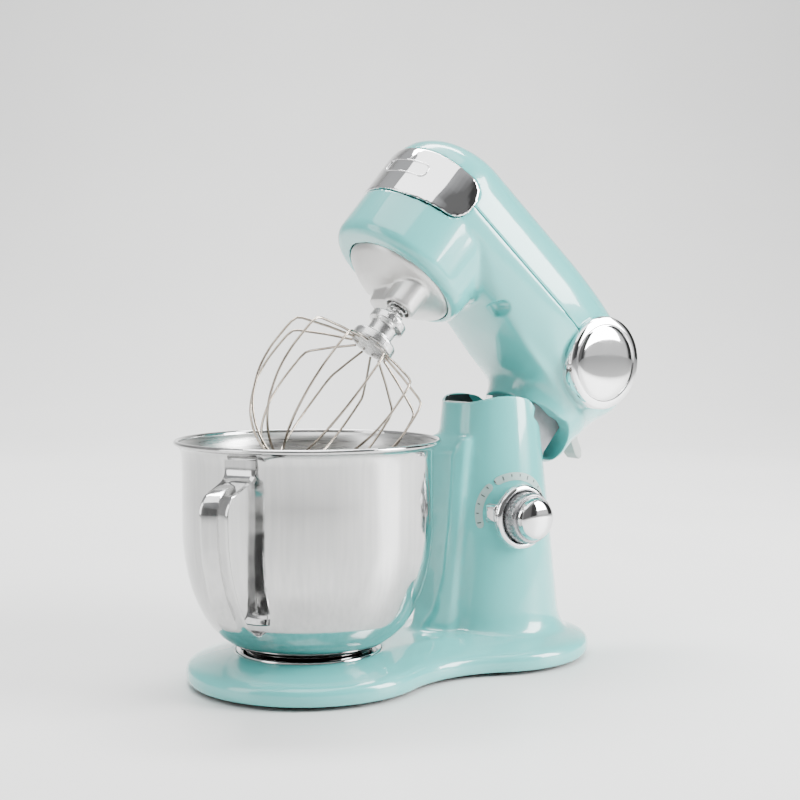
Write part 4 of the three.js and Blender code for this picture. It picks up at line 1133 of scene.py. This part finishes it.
# The room's grey round the compass: the share of a turn from -X through -Y, then the grey.
ROOM = [
    (0, 0.42), (0.06, 0.36), (0.1, 0.2), (0.29, 0.18), (0.305, 0.06), (0.335, 0.06), (0.345, 1), (0.41, 1),
    (0.42, 0.04), (0.54, 0.05), (0.58, 0.25), (0.75, 0.4), (0.9, 0.55), (1, 0.42),
]


def grey_ramp(tree, value, stops):
    node = tree.nodes.new("ShaderNodeValToRGB")
    ramp = node.color_ramp
    while len(ramp.elements) < len(stops):
        ramp.elements.new(0.5)
    for element, (position, grey) in zip(ramp.elements, stops):
        element.position = position
        element.color = (grey, grey, grey, 1)
    tree.links.new(value, node.inputs["Fac"])
    return node.outputs["Color"]


def studio():
    world = bpy.data.worlds.new("studio")
    world.use_nodes = True
    tree = world.node_tree
    background = tree.nodes["Background"]
    background.inputs["Strength"].default_value = 1.05
    coordinates = tree.nodes.new("ShaderNodeTexCoord")
    around = tree.nodes.new("ShaderNodeTexGradient")
    around.gradient_type = "RADIAL"
    tree.links.new(coordinates.outputs["Generated"], around.inputs["Vector"])
    walls = grey_ramp(tree, around.outputs["Fac"], ROOM)
    height = tree.nodes.new("ShaderNodeSeparateXYZ")
    tree.links.new(coordinates.outputs["Generated"], height.inputs["Vector"])
    ceiling = grey_ramp(tree, height.outputs["Z"], [(0.5, 0), (0.75, 1)])
    blend = tree.nodes.new("ShaderNodeMix")
    blend.data_type = "RGBA"
    tree.links.new(ceiling, blend.inputs["Factor"])
    tree.links.new(walls, blend.inputs["A"])
    blend.inputs["B"].default_value = (0.55, 0.56, 0.57, 1)
    tree.links.new(blend.outputs["Result"], background.inputs["Color"])
    bpy.context.scene.world = world
    area_light("overhead", (-0.5, -0.3, 2.4), (0, 0, 0.2), (2.2, 2.2), 56)
    area_light("window", (1.25, -1.3, 0.95), (0, 0, 0.25), (0.8, 1.3), 100)
    area_light("side", (-1.9, 0.2, 0.9), (0, 0, 0.2), (0.8, 1.6), 16)
    area_light("backdrop", (0.6, 1.1, 3.0), (1.4, 2.4, 0.6), (2.4, 1.2), 270)


def camera():
    """The photo's view: place, heading and lens were fitted to the mixer's outline."""
    data = bpy.data.cameras.new("camera")
    data.lens = 61.56
    data.sensor_width = 36
    data.dof.use_dof = False
    heading = Vector((0.5562, 0.8293, -0.0536))
    eye = bpy.data.objects.new("camera", data)
    eye.location = (-0.685, -0.9925, 0.298)
    eye.rotation_euler = heading.to_track_quat("-Z", "Y").to_euler()
    bpy.context.scene.collection.objects.link(eye)
    bpy.context.scene.camera = eye


camera()
dress_cad_nodes()
stand_casting()
rubber_feet()
clamp_ring()
knob_bezel()
knob_scale()
latch_cover()
bowl()
bowl_foot()
bowl_handle()
knob()
head_shells()
chrome_band()
band_panel()
side_caps()
lever()
dish()
axle_coil()
hub()
whisk()
floor()
studio()
